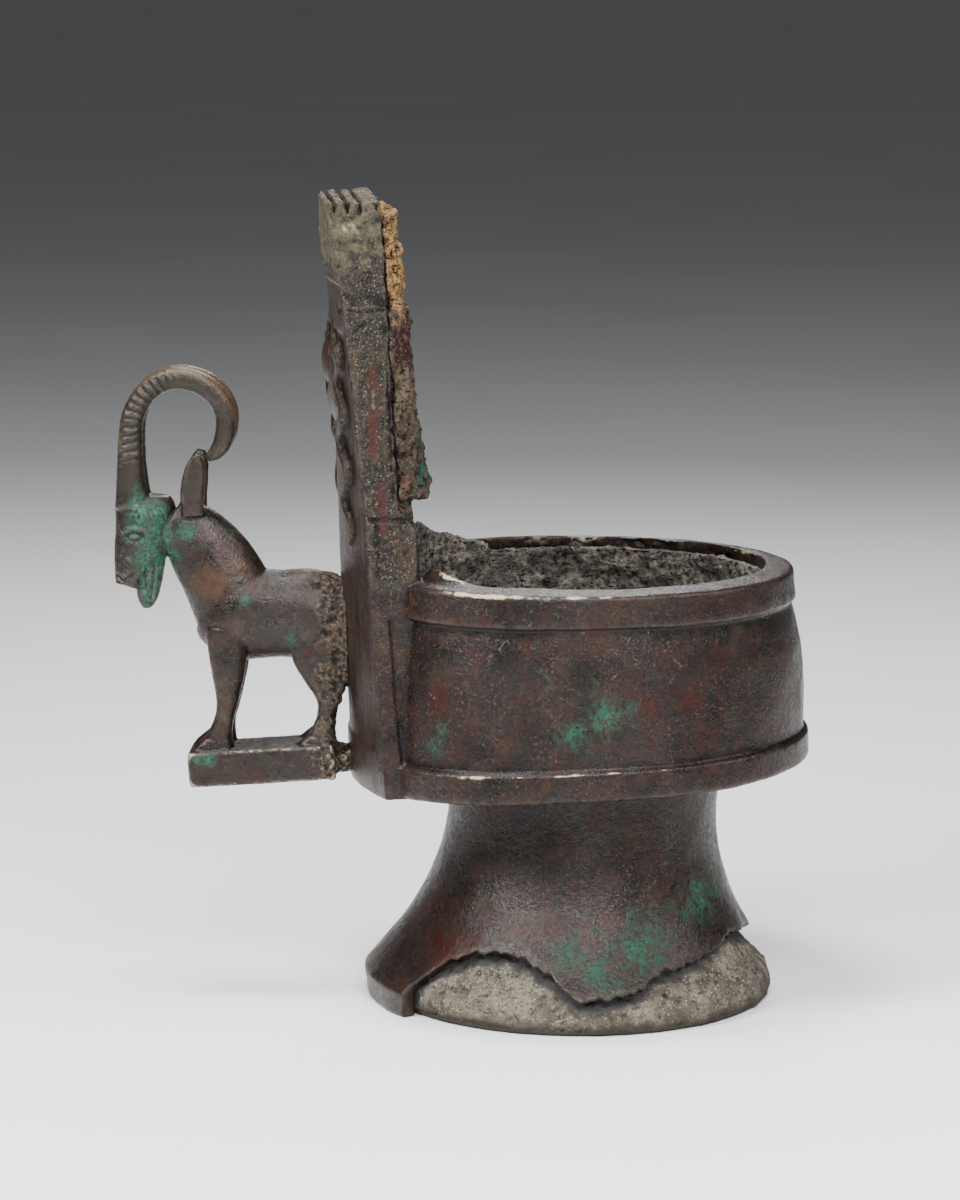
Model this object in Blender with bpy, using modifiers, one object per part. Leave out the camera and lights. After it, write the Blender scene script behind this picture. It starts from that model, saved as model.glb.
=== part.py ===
"""Ancient bronze incense burner with an ibex handle.

A hollow cup on a flaring foot, with a tall slab-like panel in front of it and an ibex that
stands on a small plinth against the panel.  The bronze is a thin skin over a fired clay core.
The core shows at the foot, where the skin is broken away, inside the cup and behind the panel.

World: metres, +Z up, the origin at the middle of the foot's underside, the ibex towards -X.
The cup, the panel and the ibex lean together over the foot.  They are modelled in an upper
frame, whose origin is on the cup's axis at its underside: u runs backwards along the object,
y across it and w up.
"""

import math

import bmesh
import bpy
from mathutils import Matrix, Vector, noise

MM = 0.001

# Distance kept between two pieces that touch.
GAP = 0.3 * MM

# Foot.
FOOT_HEIGHT = 81.2 * MM
FOOT_BASE_RADIUS = 73.2 * MM
FOOT_RIM_HEIGHT = 8.7 * MM
NECK_RADIUS = 46.3 * MM
FLARE_TOP = 71 * MM
FLARE_POWER = 2.3
FOOT_SKIN = 5 * MM
FOOT_CEILING = 3 * MM
CORE_EDGE = 3 * MM
FOOT_LEAN = math.radians(4.2)
STRAIGHT_HEIGHT = 41 * MM

# Cup, as radii about its own axis and heights above its underside.
CUP_HEIGHT = 68 * MM
RIM_RADIUS = 71 * MM
RIM_WIDTH = 9.5 * MM
RIM_RISE = 1.3 * MM
RIM_SWEEP = 6 * MM
TOP_BAND_HEIGHT = 11 * MM
BOTTOM_BAND_RADIUS = 73.9 * MM
BOTTOM_BAND_HEIGHT = 10 * MM
BAND_RELIEF = 1.7 * MM
CUP_WALL = 4.5 * MM
CUP_FLOOR = 5 * MM
RIM_FLANGE = 7 * MM
LINING = 4.5 * MM
LINING_AT_MOUTH = 3 * MM
LINING_DROP = 2.5 * MM
LINING_FLOOR = 6 * MM
HOLLOW_REACH = 45 * MM
BACK_SWELL = 1.4 * MM

# The cup's plan: a circle whose front half is drawn out and squared towards the panel.
FRONT_STRETCH_BASE = 1.055
FRONT_STRETCH_RIM = 1.042
SQUARE_POWER_BASE = 3.2
SQUARE_POWER_RIM = 2.3

# How the upper part sits on the foot.
LEAN = math.radians(3.0)
BASE_LEVELLING = math.radians(0.8)
UPPER_SHIFT = 6 * MM

# Panel, in the upper frame.
PANEL_FRONT = -84.6 * MM
PANEL_TAPER = 2.0 * MM
PANEL_BACK = -65 * MM
PANEL_BACK_LOW = -59.5 * MM
PANEL_HEIGHT = 199 * MM
PANEL_DROP = 0.4 * MM
PANEL_HALF_BASE = 50 * MM
PANEL_HALF_RIM = 41.5 * MM
PANEL_HALF_TOP = 38 * MM
LEDGE_HEIGHT = 163.7 * MM
LEDGE_DEPTH = 1.5 * MM
COURSE_HEIGHT = 26 * MM
COURSE_DEPTH = 1.4 * MM
SHOULDER_HEIGHT = 97 * MM
SHOULDER_SLOPE = 2 * MM
FIELD_DEPTH = 0.7 * MM
FIELD_BORDER = 0.16
FIELD_BOTTOM = 17 * MM
FIELD_TOP = 156 * MM
STEP = 0.7 * MM
EXTRA_CUTS = (34 * MM, 52 * MM, 82 * MM, 118 * MM, 138 * MM)
PANEL_WALL = 5 * MM
PANEL_CAP = 12 * MM
POCKET_DROP = 30 * MM
POCKET_REACH = -30 * MM
BOW_BASE = 9.5 * MM
BOW_SHOULDER = 8 * MM
BOW_LEDGE = 3 * MM
BOW_TOP = 1.6 * MM

# Crenellation along the panel's top edge.
GROOVE_WIDTH = 0.9 * MM
GROOVE_DEPTH = 4.5 * MM
TOOTH_PITCH = 4.2 * MM
ROWS_OF_TEETH = 4
FRONT_TEETH = 13

# Relief on the panel's face.
DISC_RADIUS = 9.5 * MM
DISC_HEIGHT = 143 * MM
DISC_RISE = 3.8 * MM
CRESCENT_RADIUS = 17 * MM
CRESCENT_WIDTH = 5.2 * MM
CRESCENT_THICK = 3.1 * MM
CRESCENT_HALF_DEPTH = 4 * MM
CRESCENT_SPAN = math.radians(200)
CRESCENT_DROP = 2.5 * MM
CRESCENT_TILT = math.radians(5)
SNAKE_RADIUS = 2.6 * MM
SNAKE_OFFSET = 24 * MM
SNAKE_SWING = 3.6 * MM
SNAKE_WAVES = 3.5
SNAKE_BOTTOM = 84 * MM
SNAKE_TOP = 152 * MM

# Core that bulges out behind the panel.
BULGE_TOP = 5.5 * MM
BULGE_BOTTOM = 12.5 * MM
BULGE_ROUGHNESS = 1.6 * MM
BUTTRESS_LENGTH = 30 * MM
BUTTRESS_WIDTH = 9 * MM
BUTTRESS_DEPTH = 14 * MM
BUTTRESS_CREST = ((0, 15 * MM), (0.2, 13.5 * MM), (0.3, 10 * MM), (0.6, 6 * MM), (1, 2 * MM))

# Plinth of the ibex, in the upper frame.
PLINTH_FRONT = -140.7 * MM
PLINTH_BOTTOM = 1 * MM
PLINTH_TOP = 13.5 * MM
PLINTH_HALF_WIDTH = 12 * MM
PLINTH_END = -90 * MM
PLINTH_EDGE = 1.3 * MM

# The ibex stands a little askew on the panel: turned away from square, and drooping.
IBEX_TURN = math.radians(-6)
IBEX_DROOP = math.radians(0.6)
IBEX_PIVOT = Vector((-80, 0, 60)) * MM
IBEX_SHIFT = Vector((0.5, 0, -0.5)) * MM

# Fineness of the faceted solids.
TURN_STEPS = 44
FLARE_RINGS = 7
IBEX_VOXEL = 0.85 * MM
IBEX_TRIANGLES = 2500
FLAT = math.radians(0.05)

UPPER = Matrix.Translation((UPPER_SHIFT, 0, FOOT_HEIGHT)) @ Matrix.Rotation(-LEAN, 4, "Y")
ASKEW = Matrix.Rotation(IBEX_TURN, 4, "Z") @ Matrix.Rotation(-IBEX_DROOP, 4, "Y")
IBEX_JOINT = UPPER @ Matrix.Translation(IBEX_PIVOT + IBEX_SHIFT)
IBEX = IBEX_JOINT @ ASKEW @ Matrix.Translation(-IBEX_PIVOT)

# The skin's broken edge round the foot: degrees from +X, and the height where the skin ends.
BREAK_EDGE = (
    (-150, -4),
    (-148.5, 9),
    (-145, 15),
    (-140, 20),
    (-131, 24),
    (-122, 25.5),
    (-113, 24),
    (-104, 19.5),
    (-99, 15),
    (-95, 12),
    (-88, 13),
    (-79, 14.5),
    (-69, 19.5),
    (-59, 20.5),
    (-45, 23),
    (-31, 26),
    (-12, 24),
    (8, 21),
    (24, 15),
    (38, 9),
    (46, -4),
)


def mix(points, at):
    """Reads a value at a place from (place, value) points, straight between them."""
    points = list(points)
    if at <= points[0][0]:
        return points[0][1]
    for (a, low), (b, high) in zip(points, points[1:]):
        if at <= b:
            return low + (high - low) * (at - a) / (b - a)
    return points[-1][1]


def smooth(edge_a, edge_b, at):
    """Goes from 0 at edge_a to 1 at edge_b without a corner."""
    share = min(1.0, max(0.0, (at - edge_a) / (edge_b - edge_a)))
    return share * share * (3 - 2 * share)


def clear_scene():
    for obj in list(bpy.data.objects):
        bpy.data.objects.remove(obj, do_unlink=True)
    for mesh in list(bpy.data.meshes):
        bpy.data.meshes.remove(mesh)


def make_collection(name):
    collection = bpy.data.collections.new(name)
    bpy.context.scene.collection.children.link(collection)
    return collection


def make_material(name, colour, roughness, metallic):
    material = bpy.data.materials.new(name)
    material.use_nodes = True
    shader = material.node_tree.nodes["Principled BSDF"]
    shader.inputs["Base Color"].default_value = (*colour, 1.0)
    shader.inputs["Roughness"].default_value = roughness
    shader.inputs["Metallic"].default_value = metallic
    return material


def make_object(name, bm, place=Matrix.Identity(4)):
    """Turns a bmesh into an object, and frees the bmesh."""
    mesh = bpy.data.meshes.new(name)
    bm.to_mesh(mesh)
    bm.free()
    obj = bpy.data.objects.new(name, mesh)
    bpy.context.scene.collection.objects.link(obj)
    obj.matrix_world = place
    return obj


def bake(obj):
    """Gives the object the mesh that its modifiers make."""
    graph = bpy.context.evaluated_depsgraph_get()
    mesh = bpy.data.meshes.new_from_object(obj.evaluated_get(graph))
    obj.modifiers.clear()
    obj.data = mesh
    return obj


def triangulate(obj):
    """Melts flat neighbours together, then splits every face into triangles, which are flat."""
    bm = bmesh.new()
    bm.from_mesh(obj.data)
    bmesh.ops.dissolve_limit(bm, angle_limit=FLAT, verts=bm.verts[:], edges=bm.edges[:])
    bmesh.ops.triangulate(bm, faces=bm.faces[:])
    bm.to_mesh(obj.data)
    bm.free()


def combine(target, other, operation):
    """Joins another solid to the target, or cuts it away, and removes it."""
    triangulate(target)
    triangulate(other)
    modifier = target.modifiers.new(operation.lower(), "BOOLEAN")
    modifier.operation = operation
    modifier.solver = "EXACT"
    modifier.object = other
    bpy.context.view_layer.update()
    bake(target)
    bpy.data.objects.remove(other, do_unlink=True)
    return target


def reshape(obj, move):
    """Moves every vertex of a mesh to where move(place) says."""
    for vertex in obj.data.vertices:
        vertex.co = move(vertex.co.copy())
    obj.data.update()
    return obj


def tidy(obj):
    """Merges what coincides and flattens slivers, and turns the faces outwards."""
    bm = bmesh.new()
    bm.from_mesh(obj.data)
    bmesh.ops.remove_doubles(bm, verts=bm.verts[:], dist=0.005 * MM)
    bmesh.ops.dissolve_degenerate(bm, edges=bm.edges[:], dist=0.005 * MM)
    bmesh.ops.recalc_face_normals(bm, faces=bm.faces[:])
    bm.to_mesh(obj.data)
    bm.free()
    return obj


def turned(name, profile, place=Matrix.Identity(4)):
    """A solid of revolution.  The profile runs from the axis down its outer side, back to the axis."""
    bm = bmesh.new()
    points = [bm.verts.new((radius, 0, height)) for radius, height in profile]
    for pair in zip(points, points[1:]):
        bm.edges.new(pair)
    obj = make_object(name, bm, place)
    screw = obj.modifiers.new("turn", "SCREW")
    screw.axis = "Z"
    screw.steps = TURN_STEPS
    screw.render_steps = TURN_STEPS
    screw.use_merge_vertices = True
    screw.merge_threshold = 0.01 * MM
    bpy.context.view_layer.update()
    return tidy(bake(obj))


def block(name, x_cuts, y_cuts, z_cuts, place=Matrix.Identity(4)):
    """A box from the first to the last cut on each axis, divided at the cuts between."""
    bm = bmesh.new()
    bmesh.ops.create_cube(bm, size=1.0)
    low = Vector((x_cuts[0], y_cuts[0], z_cuts[0]))
    high = Vector((x_cuts[-1], y_cuts[-1], z_cuts[-1]))
    bmesh.ops.scale(bm, vec=high - low, verts=bm.verts[:])
    bmesh.ops.translate(bm, vec=(low + high) / 2, verts=bm.verts[:])
    for axis, cuts in enumerate((x_cuts, y_cuts, z_cuts)):
        normal = Vector([float(axis == i) for i in range(3)])
        for cut in cuts[1:-1]:
            everything = bm.verts[:] + bm.edges[:] + bm.faces[:]
            bmesh.ops.bisect_plane(bm, geom=everything, plane_co=normal * cut, plane_no=normal)
    return make_object(name, bm, place)


def even(low, high, count):
    """Cuts at even distances from low to high."""
    return [low + (high - low) * i / count for i in range(count + 1)]


def foot_radius(height, inset):
    """The foot's radius at a height, measured to a surface that lies inset within its outer one."""
    if height >= FLARE_TOP:
        return NECK_RADIUS - inset
    rim_flare = (1 - FOOT_RIM_HEIGHT / FLARE_TOP) ** FLARE_POWER
    flare = (1 - max(height, FOOT_RIM_HEIGHT) / FLARE_TOP) ** FLARE_POWER
    return NECK_RADIUS + (FOOT_BASE_RADIUS - NECK_RADIUS) * flare / rim_flare - inset


def foot_profile(inset, bottom, top, edge):
    """Half the foot's outline, with its lower corner cut back by edge."""
    flare = FLARE_TOP - FOOT_RIM_HEIGHT
    heights = [top] + [FLARE_TOP - flare * i / FLARE_RINGS for i in range(FLARE_RINGS + 1)]
    outline = [(foot_radius(h, inset), h) for h in heights]
    base = foot_radius(FOOT_RIM_HEIGHT, inset)
    outline += [(base, bottom + edge), (base - edge * 0.4, bottom + edge * 0.25)]
    outline += [(base - edge, bottom)]
    return [(0, top)] + outline + [(0, bottom)]


def foot_form(place):
    """Leans the foot's neck, which isn't quite over its base."""
    grip = smooth(0, 0.5 * STRAIGHT_HEIGHT, place.z)
    push = math.tan(FOOT_LEAN) * (place.z - STRAIGHT_HEIGHT) * grip
    return place + Vector((push, 0, 0))


def plan_radius(angle, share):
    """The cup's plan at an angle, against a circle of radius 1; share is 0 at its base, 1 at its rim."""
    if math.cos(angle) >= 0:
        return 1.0
    power = SQUARE_POWER_BASE + (SQUARE_POWER_RIM - SQUARE_POWER_BASE) * share
    stretch = FRONT_STRETCH_BASE + (FRONT_STRETCH_RIM - FRONT_STRETCH_BASE) * share
    along = abs(math.cos(angle) / stretch) ** power
    across = abs(math.sin(angle)) ** power
    return (along + across) ** (-1 / power)


def level(u, height):
    """How far a level ring of the cup drops in the leaning frame."""
    share = height / CUP_HEIGHT
    return -u * math.tan(BASE_LEVELLING + (LEAN - BASE_LEVELLING) * share)


def cup_form(place):
    """Gives a turned cup its squared front, its swollen back and its level rings."""
    radius = math.hypot(place.x, place.y)
    share = min(1.0, max(0.0, place.z / CUP_HEIGHT))
    if radius < 1e-6:
        return place
    angle = math.atan2(place.y, place.x)
    grown = radius * plan_radius(angle, share)
    outside = smooth(RIM_RADIUS - 6 * MM, RIM_RADIUS - 3 * MM, radius)
    swell = math.sin(math.pi * share) ** 2 * max(0.0, math.cos(angle)) ** 3
    grown += BACK_SWELL * swell * outside
    x, y = grown * math.cos(angle), grown * math.sin(angle)
    return Vector((x, y, place.z + level(x, place.z)))


def cup_outline():
    """The cup's outer profile, with its two flat bands, from the rim's inner edge down."""
    wall_top = RIM_RADIUS - BAND_RELIEF
    wall_low = BOTTOM_BAND_RADIUS - BAND_RELIEF
    band = CUP_HEIGHT - TOP_BAND_HEIGHT
    return [
        (0, CUP_HEIGHT + RIM_RISE),
        (RIM_RADIUS - RIM_WIDTH, CUP_HEIGHT + RIM_RISE),
        (RIM_RADIUS - 0.8 * MM, CUP_HEIGHT),
        (RIM_RADIUS, CUP_HEIGHT - 1.0 * MM),
        (RIM_RADIUS + 0.2 * MM, band + 0.6 * MM),
        (RIM_RADIUS - 0.4 * MM, band),
        (wall_top, band - 0.4 * MM),
        (wall_top + 0.7 * (wall_low - wall_top), 0.62 * CUP_HEIGHT),
        (wall_low, 0.35 * CUP_HEIGHT),
        (wall_low, BOTTOM_BAND_HEIGHT + 0.4 * MM),
        (BOTTOM_BAND_RADIUS - 0.5 * MM, BOTTOM_BAND_HEIGHT),
        (BOTTOM_BAND_RADIUS, BOTTOM_BAND_HEIGHT - 0.7 * MM),
        (BOTTOM_BAND_RADIUS, 1.0 * MM),
        (BOTTOM_BAND_RADIUS - 1.0 * MM, 0),
        (0, 0),
    ]


def cup_hollow(inset):
    """What is inside the bronze of the cup: wide below, narrower within the rim's flange."""
    wall = RIM_RADIUS - CUP_WALL - BAND_RELIEF - inset
    mouth = RIM_RADIUS - RIM_WIDTH - inset
    above = CUP_HEIGHT + RIM_RISE + RIM_SWEEP + 2 * MM
    return [
        (0, above),
        (mouth, above),
        (mouth, CUP_HEIGHT - RIM_FLANGE - inset),
        (wall, CUP_HEIGHT - RIM_FLANGE - 3 * MM - inset),
        (wall + 1.5 * MM, CUP_FLOOR + 6 * MM),
        (wall - 3 * MM, CUP_FLOOR + inset),
        (0, CUP_FLOOR + inset),
    ]


def lined_hollow():
    """The empty space inside the lining, which runs out through the mouth."""
    mouth = RIM_RADIUS - RIM_WIDTH - LINING_AT_MOUTH
    wall = RIM_RADIUS - CUP_WALL - BAND_RELIEF - LINING
    floor = CUP_FLOOR + LINING_FLOOR
    return [
        (0, CUP_HEIGHT + HOLLOW_REACH),
        (mouth, CUP_HEIGHT + HOLLOW_REACH),
        (mouth, CUP_HEIGHT - RIM_FLANGE),
        (wall, 0.5 * CUP_HEIGHT),
        (wall - 0.5 * MM, floor + 12 * MM),
        (wall - 4 * MM, floor + 3 * MM),
        (wall - 12 * MM, floor),
        (0, floor),
    ]


def panel_half_width(height):
    """Half the panel's width at a height above the cup's underside."""
    shape = ((0, PANEL_HALF_BASE), (CUP_HEIGHT, PANEL_HALF_RIM), (PANEL_HEIGHT, PANEL_HALF_TOP))
    return mix(shape, height) - (LEDGE_DEPTH if height > LEDGE_HEIGHT else 0)


def panel_front(height, across):
    """Where the panel's face is at a height and at a share of its half width, from -1 to 1."""
    bow = mix(
        (
            (0, BOW_BASE),
            (SHOULDER_HEIGHT, BOW_SHOULDER),
            (LEDGE_HEIGHT, BOW_LEDGE),
            (PANEL_HEIGHT, BOW_TOP),
        ),
        height,
    )
    place = PANEL_FRONT + bow * across * across
    place += mix(((CUP_HEIGHT, 0), (LEDGE_HEIGHT, PANEL_TAPER)), height)
    in_field = abs(across) < 1 - FIELD_BORDER and FIELD_BOTTOM < height < FIELD_TOP
    if in_field:
        place += FIELD_DEPTH
    if height > PANEL_HEIGHT - COURSE_HEIGHT:
        place -= COURSE_DEPTH
    return place


def panel_block(name, forward=0.0, sideways=0.0):
    """The panel as one solid slab; forward and sideways make it larger or smaller."""
    border = FIELD_BORDER
    inner = even(-(1 - border) + 0.02, 1 - border - 0.02, 8)
    y_cuts = [-1, -(1 - border)] + inner + [1 - border, 1]
    course = PANEL_HEIGHT - COURSE_HEIGHT
    z_cuts = [0, FIELD_BOTTOM, FIELD_BOTTOM + STEP, CUP_HEIGHT, SHOULDER_HEIGHT]
    z_cuts += [SHOULDER_HEIGHT + SHOULDER_SLOPE, FIELD_TOP - STEP, FIELD_TOP, LEDGE_HEIGHT]
    z_cuts += [LEDGE_HEIGHT + STEP, course - STEP, course, PANEL_HEIGHT]
    obj = block(name, [0, 1], y_cuts, sorted(z_cuts + list(EXTRA_CUTS)), UPPER)

    def move(place):
        across, height = place.y, place.z
        front = panel_front(height, across) - forward
        back = PANEL_BACK_LOW if height <= SHOULDER_HEIGHT else PANEL_BACK
        x = front if place.x < 0.5 else back
        y = across * (panel_half_width(height) + sideways)
        foot = level(x, 0) - PANEL_DROP if height == 0 else height
        return Vector((x, y, foot))

    return tidy(reshape(obj, move))


def panel_fill(name, inset, back):
    """The core inside the panel, or the pocket that it fills."""
    low = CUP_HEIGHT - POCKET_DROP
    high = PANEL_HEIGHT - PANEL_CAP - inset
    cuts = [low + inset, CUP_HEIGHT, SHOULDER_HEIGHT, 130 * MM, LEDGE_HEIGHT, high]
    obj = block(name, [0, 1], even(-1, 1, 6), cuts, UPPER)

    def move(place):
        half = panel_half_width(place.z) - PANEL_WALL - inset
        front = panel_front(place.z, place.y) + PANEL_WALL + inset
        return Vector((front if place.x < 0.5 else back, place.y * half, place.z))

    return tidy(reshape(obj, move))


def foot_break():
    """What is missing of the foot's skin: a ring sector whose upper edge is the broken one."""
    bm = bmesh.new()
    inner, outer = 40 * MM, 90 * MM
    first, last = BREAK_EDGE[0][0], BREAK_EDGE[-1][0]
    steps = 64
    corners = [(inner, -6 * MM), (outer, -6 * MM), (outer, 1 * MM), (inner, 1 * MM)]
    ring = [bm.verts.new((r, 0, z)) for r, z in corners]
    bm.faces.new(ring)
    bmesh.ops.rotate(bm, cent=(0, 0, 0), matrix=Matrix.Rotation(math.radians(first), 3, "Z"),
                     verts=bm.verts[:])
    bmesh.ops.spin(bm, geom=bm.faces[:], axis=(0, 0, 1), cent=(0, 0, 0), steps=steps,
                   angle=math.radians(last - first), use_duplicate=False)
    boundary = [edge for edge in bm.edges if edge.is_boundary]
    bmesh.ops.holes_fill(bm, edges=boundary, sides=0)
    bmesh.ops.recalc_face_normals(bm, faces=bm.faces[:])
    obj = make_object("foot_break", bm)

    def move(place):
        if place.z < 0:
            return place
        angle = math.degrees(math.atan2(place.y, place.x))
        height = mix(BREAK_EDGE, angle) * MM
        chip = noise.noise(Vector((angle * 0.35, 0, 3.1))) * 0.9 * MM
        return Vector((place.x, place.y, height + chip))

    return reshape(obj, move)


def crescent():
    """The moon's crescent, points upwards, as a flat bevelled outline."""
    outline = []
    outer, centre = CRESCENT_RADIUS, Vector((0, DISC_HEIGHT - CRESCENT_DROP))
    for i in range(15):
        angle = -math.pi / 2 + CRESCENT_SPAN * (i / 14 - 0.5)
        outline.append((outer * math.cos(angle), centre.y + outer * math.sin(angle)))
    start, end = outline[0], outline[-1]
    inner_depth = outer - CRESCENT_WIDTH
    for i in range(1, 12):
        share = i / 12
        x = end[0] + (start[0] - end[0]) * share
        z = end[1] - (inner_depth + end[1] - centre.y) * math.sin(math.pi * share) ** 0.8
        outline.append((x, z))
    curve = bpy.data.curves.new("crescent", "CURVE")
    curve.dimensions = "2D"
    curve.fill_mode = "BOTH"
    curve.extrude = CRESCENT_HALF_DEPTH
    spline = curve.splines.new("POLY")
    spline.points.add(len(outline) - 1)
    for point, (x, z) in zip(spline.points, outline):
        point.co = (x, z, 0, 1)
    spline.use_cyclic_u = True
    obj = bpy.data.objects.new("crescent", curve)
    bpy.context.scene.collection.objects.link(obj)
    face = panel_front(DISC_HEIGHT, 0) + CRESCENT_HALF_DEPTH - CRESCENT_THICK
    tilt = Matrix.Rotation(CRESCENT_TILT, 4, "Y")
    upright = Matrix.Rotation(math.pi / 2, 4, "Z") @ Matrix.Rotation(math.pi / 2, 4, "X")
    middle = Matrix.Translation((face, 0, DISC_HEIGHT))
    obj.matrix_world = UPPER @ middle @ tilt @ Matrix.Translation((0, 0, -DISC_HEIGHT)) @ upright
    return meshed(obj)


def meshed(obj):
    """Replaces a curve by its mesh, with its loose caps welded."""
    bpy.context.view_layer.update()
    graph = bpy.context.evaluated_depsgraph_get()
    mesh = bpy.data.meshes.new_from_object(obj.evaluated_get(graph))
    solid = bpy.data.objects.new(obj.name + "_solid", mesh)
    bpy.context.scene.collection.objects.link(solid)
    solid.matrix_world = obj.matrix_world
    bpy.data.objects.remove(obj, do_unlink=True)
    bpy.context.view_layer.update()
    return tidy(solid)


def disc():
    """The sun's disc, a low dome within the crescent."""
    bm = bmesh.new()
    bmesh.ops.create_uvsphere(bm, u_segments=24, v_segments=12, radius=DISC_RADIUS)
    bmesh.ops.scale(bm, vec=(DISC_RISE / DISC_RADIUS, 1, 1), verts=bm.verts[:])
    centre = (panel_front(DISC_HEIGHT, 0) - 0.3 * MM, 0, DISC_HEIGHT)
    bmesh.ops.translate(bm, vec=centre, verts=bm.verts[:])
    return make_object("disc", bm, UPPER)


def snake(side):
    """One of the two snakes in relief, winding up the panel's side, head upwards."""
    curve = bpy.data.curves.new("snake", "CURVE")
    curve.dimensions = "3D"
    curve.bevel_depth = SNAKE_RADIUS
    curve.bevel_resolution = 1
    curve.use_fill_caps = True
    spline = curve.splines.new("POLY")
    count = 21
    spline.points.add(count)
    for i, point in enumerate(spline.points):
        share = i / count
        height = SNAKE_BOTTOM + (SNAKE_TOP - SNAKE_BOTTOM) * share
        swing = SNAKE_SWING * math.sin(2 * math.pi * SNAKE_WAVES * share)
        y = side * (SNAKE_OFFSET + swing)
        across = y / panel_half_width(height)
        x = panel_front(height, across) - 0.1 * MM
        point.co = (x, y, height, 1)
        point.radius = 0.45 + 0.55 * smooth(0, 0.35, share) + 0.35 * smooth(0.9, 0.97, share)
    spline.points[count].radius = 0.6
    obj = bpy.data.objects.new("snake", curve)
    bpy.context.scene.collection.objects.link(obj)
    obj.matrix_world = UPPER
    return meshed(obj)


def cut_teeth(body):
    """Cuts the crenellation: grooves along the top, and short ones across its front row."""
    top = PANEL_HEIGHT + 5 * MM
    floor = PANEL_HEIGHT - GROOVE_DEPTH
    for row in range(1, ROWS_OF_TEETH):
        u = PANEL_FRONT + row * TOOTH_PITCH - GROOVE_WIDTH / 2
        groove = block("groove", [u, u + GROOVE_WIDTH], [-60 * MM, 60 * MM], [floor, top], UPPER)
        combine(body, groove, "DIFFERENCE")
    half = PANEL_HALF_TOP - LEDGE_DEPTH
    pitch = 2 * half / FRONT_TEETH
    for i in range(1, FRONT_TEETH):
        y = -half + i * pitch - GROOVE_WIDTH / 2
        u = PANEL_FRONT - 3 * MM
        reach = PANEL_FRONT + TOOTH_PITCH
        groove = block("groove", [u, reach], [y, y + GROOVE_WIDTH], [floor, top], UPPER)
        combine(body, groove, "DIFFERENCE")


def bronze_body():
    """Foot, cup and panel, cast in one."""
    body = turned("bronze_body", cup_outline(), UPPER)
    reshape(body, cup_form)
    sweep_rim(body)
    foot = turned("foot", foot_profile(0, 0, FOOT_HEIGHT + FOOT_CEILING, 1.0 * MM))
    reshape(foot, foot_form)
    combine(body, foot, "UNION")
    combine(body, panel_block("panel"), "UNION")
    hollow = foot_profile(FOOT_SKIN, -5 * MM, FOOT_HEIGHT - FOOT_CEILING, 0.5 * MM)
    combine(body, reshape(turned("foot_inside", hollow), foot_form), "DIFFERENCE")
    inside = reshape(turned("cup_inside", cup_hollow(0), UPPER), cup_form)
    combine(body, inside, "DIFFERENCE")
    combine(body, panel_fill("pocket", 0, POCKET_REACH), "DIFFERENCE")
    combine(body, foot_break(), "DIFFERENCE")
    combine(body, crescent(), "UNION")
    combine(body, disc(), "UNION")
    for side in (-1, 1):
        combine(body, snake(side), "UNION")
    cut_teeth(body)
    return tidy(body)


def sweep_rim(body):
    """Lifts the rim's inner edge where it runs up to the panel."""
    mouth = RIM_RADIUS - RIM_WIDTH

    def move(place):
        radius = math.hypot(place.x, place.y)
        if radius < mouth * 0.95 or place.z < CUP_HEIGHT - 6 * MM:
            return place
        near = smooth(-40 * MM, -56 * MM, place.x)
        inner = 1 - smooth(mouth * 1.02, RIM_RADIUS * 1.0, radius)
        return place + Vector((0, 0, RIM_SWEEP * near * inner))

    return reshape(body, move)


def panel_bulge():
    """The core behind the panel, rough and swelling towards its lower end."""
    low = SHOULDER_HEIGHT + SHOULDER_SLOPE + GAP
    high = PANEL_HEIGHT - 5 * MM
    back = PANEL_BACK + GAP
    levels = even(low, high, 14)
    obj = block("bulge", [0, 0.5, 1], even(-1, 1, 8), levels, UPPER)

    def move(place):
        share = (place.z - low) / (high - low)
        swell = mix(((0, BULGE_BOTTOM), (0.3, 0.75 * BULGE_BOTTOM), (1, BULGE_TOP)), share)
        swell *= 1 - 0.35 * abs(place.y) ** 4
        half = panel_half_width(place.z) - 1.2 * MM
        tuck = 1 - 0.10 * place.x * abs(place.y)
        x = back + swell * place.x
        rough = noise.noise_vector(Vector((place.y * 4, place.z / (9 * MM), place.x))) * place.x
        push = Vector((rough.x, rough.y * 0.5, rough.z * 0.6)) * BULGE_ROUGHNESS
        undercut = 4 * MM * place.x if place.z == levels[0] else 0
        height = max(place.z + undercut, low)
        return Vector((x, place.y * half * tuck, height)) + push

    return tidy(reshape(obj, move))


def mouth_reach(x):
    """How far the mouth reaches sideways at a place along the cup."""
    mouth = RIM_RADIUS - RIM_WIDTH
    along = min(1.0, abs(x) / (mouth * FRONT_STRETCH_RIM)) ** SQUARE_POWER_RIM
    return mouth * (1 - along) ** (1 / SQUARE_POWER_RIM)


def buttress():
    """Core left standing above the far rim, in its corner with the panel's back."""
    along = [share for share, rise in BUTTRESS_CREST]
    obj = block("buttress", along, [0, 1], even(0, 1, 3), UPPER)

    def move(place):
        x = PANEL_BACK_LOW + GAP + BUTTRESS_LENGTH * place.x
        rise = mix(BUTTRESS_CREST, place.x)
        z = CUP_HEIGHT - BUTTRESS_DEPTH + (BUTTRESS_DEPTH + rise) * place.z
        y = mouth_reach(x) - 1.2 * MM - BUTTRESS_WIDTH * (1 - place.y)
        rough = noise.noise_vector(Vector((place.x * 3, place.y, place.z * 3)))
        return Vector((x, y, z)) + Vector((0, rough.y, rough.z)) * 0.7 * MM

    return tidy(reshape(obj, move))


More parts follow.
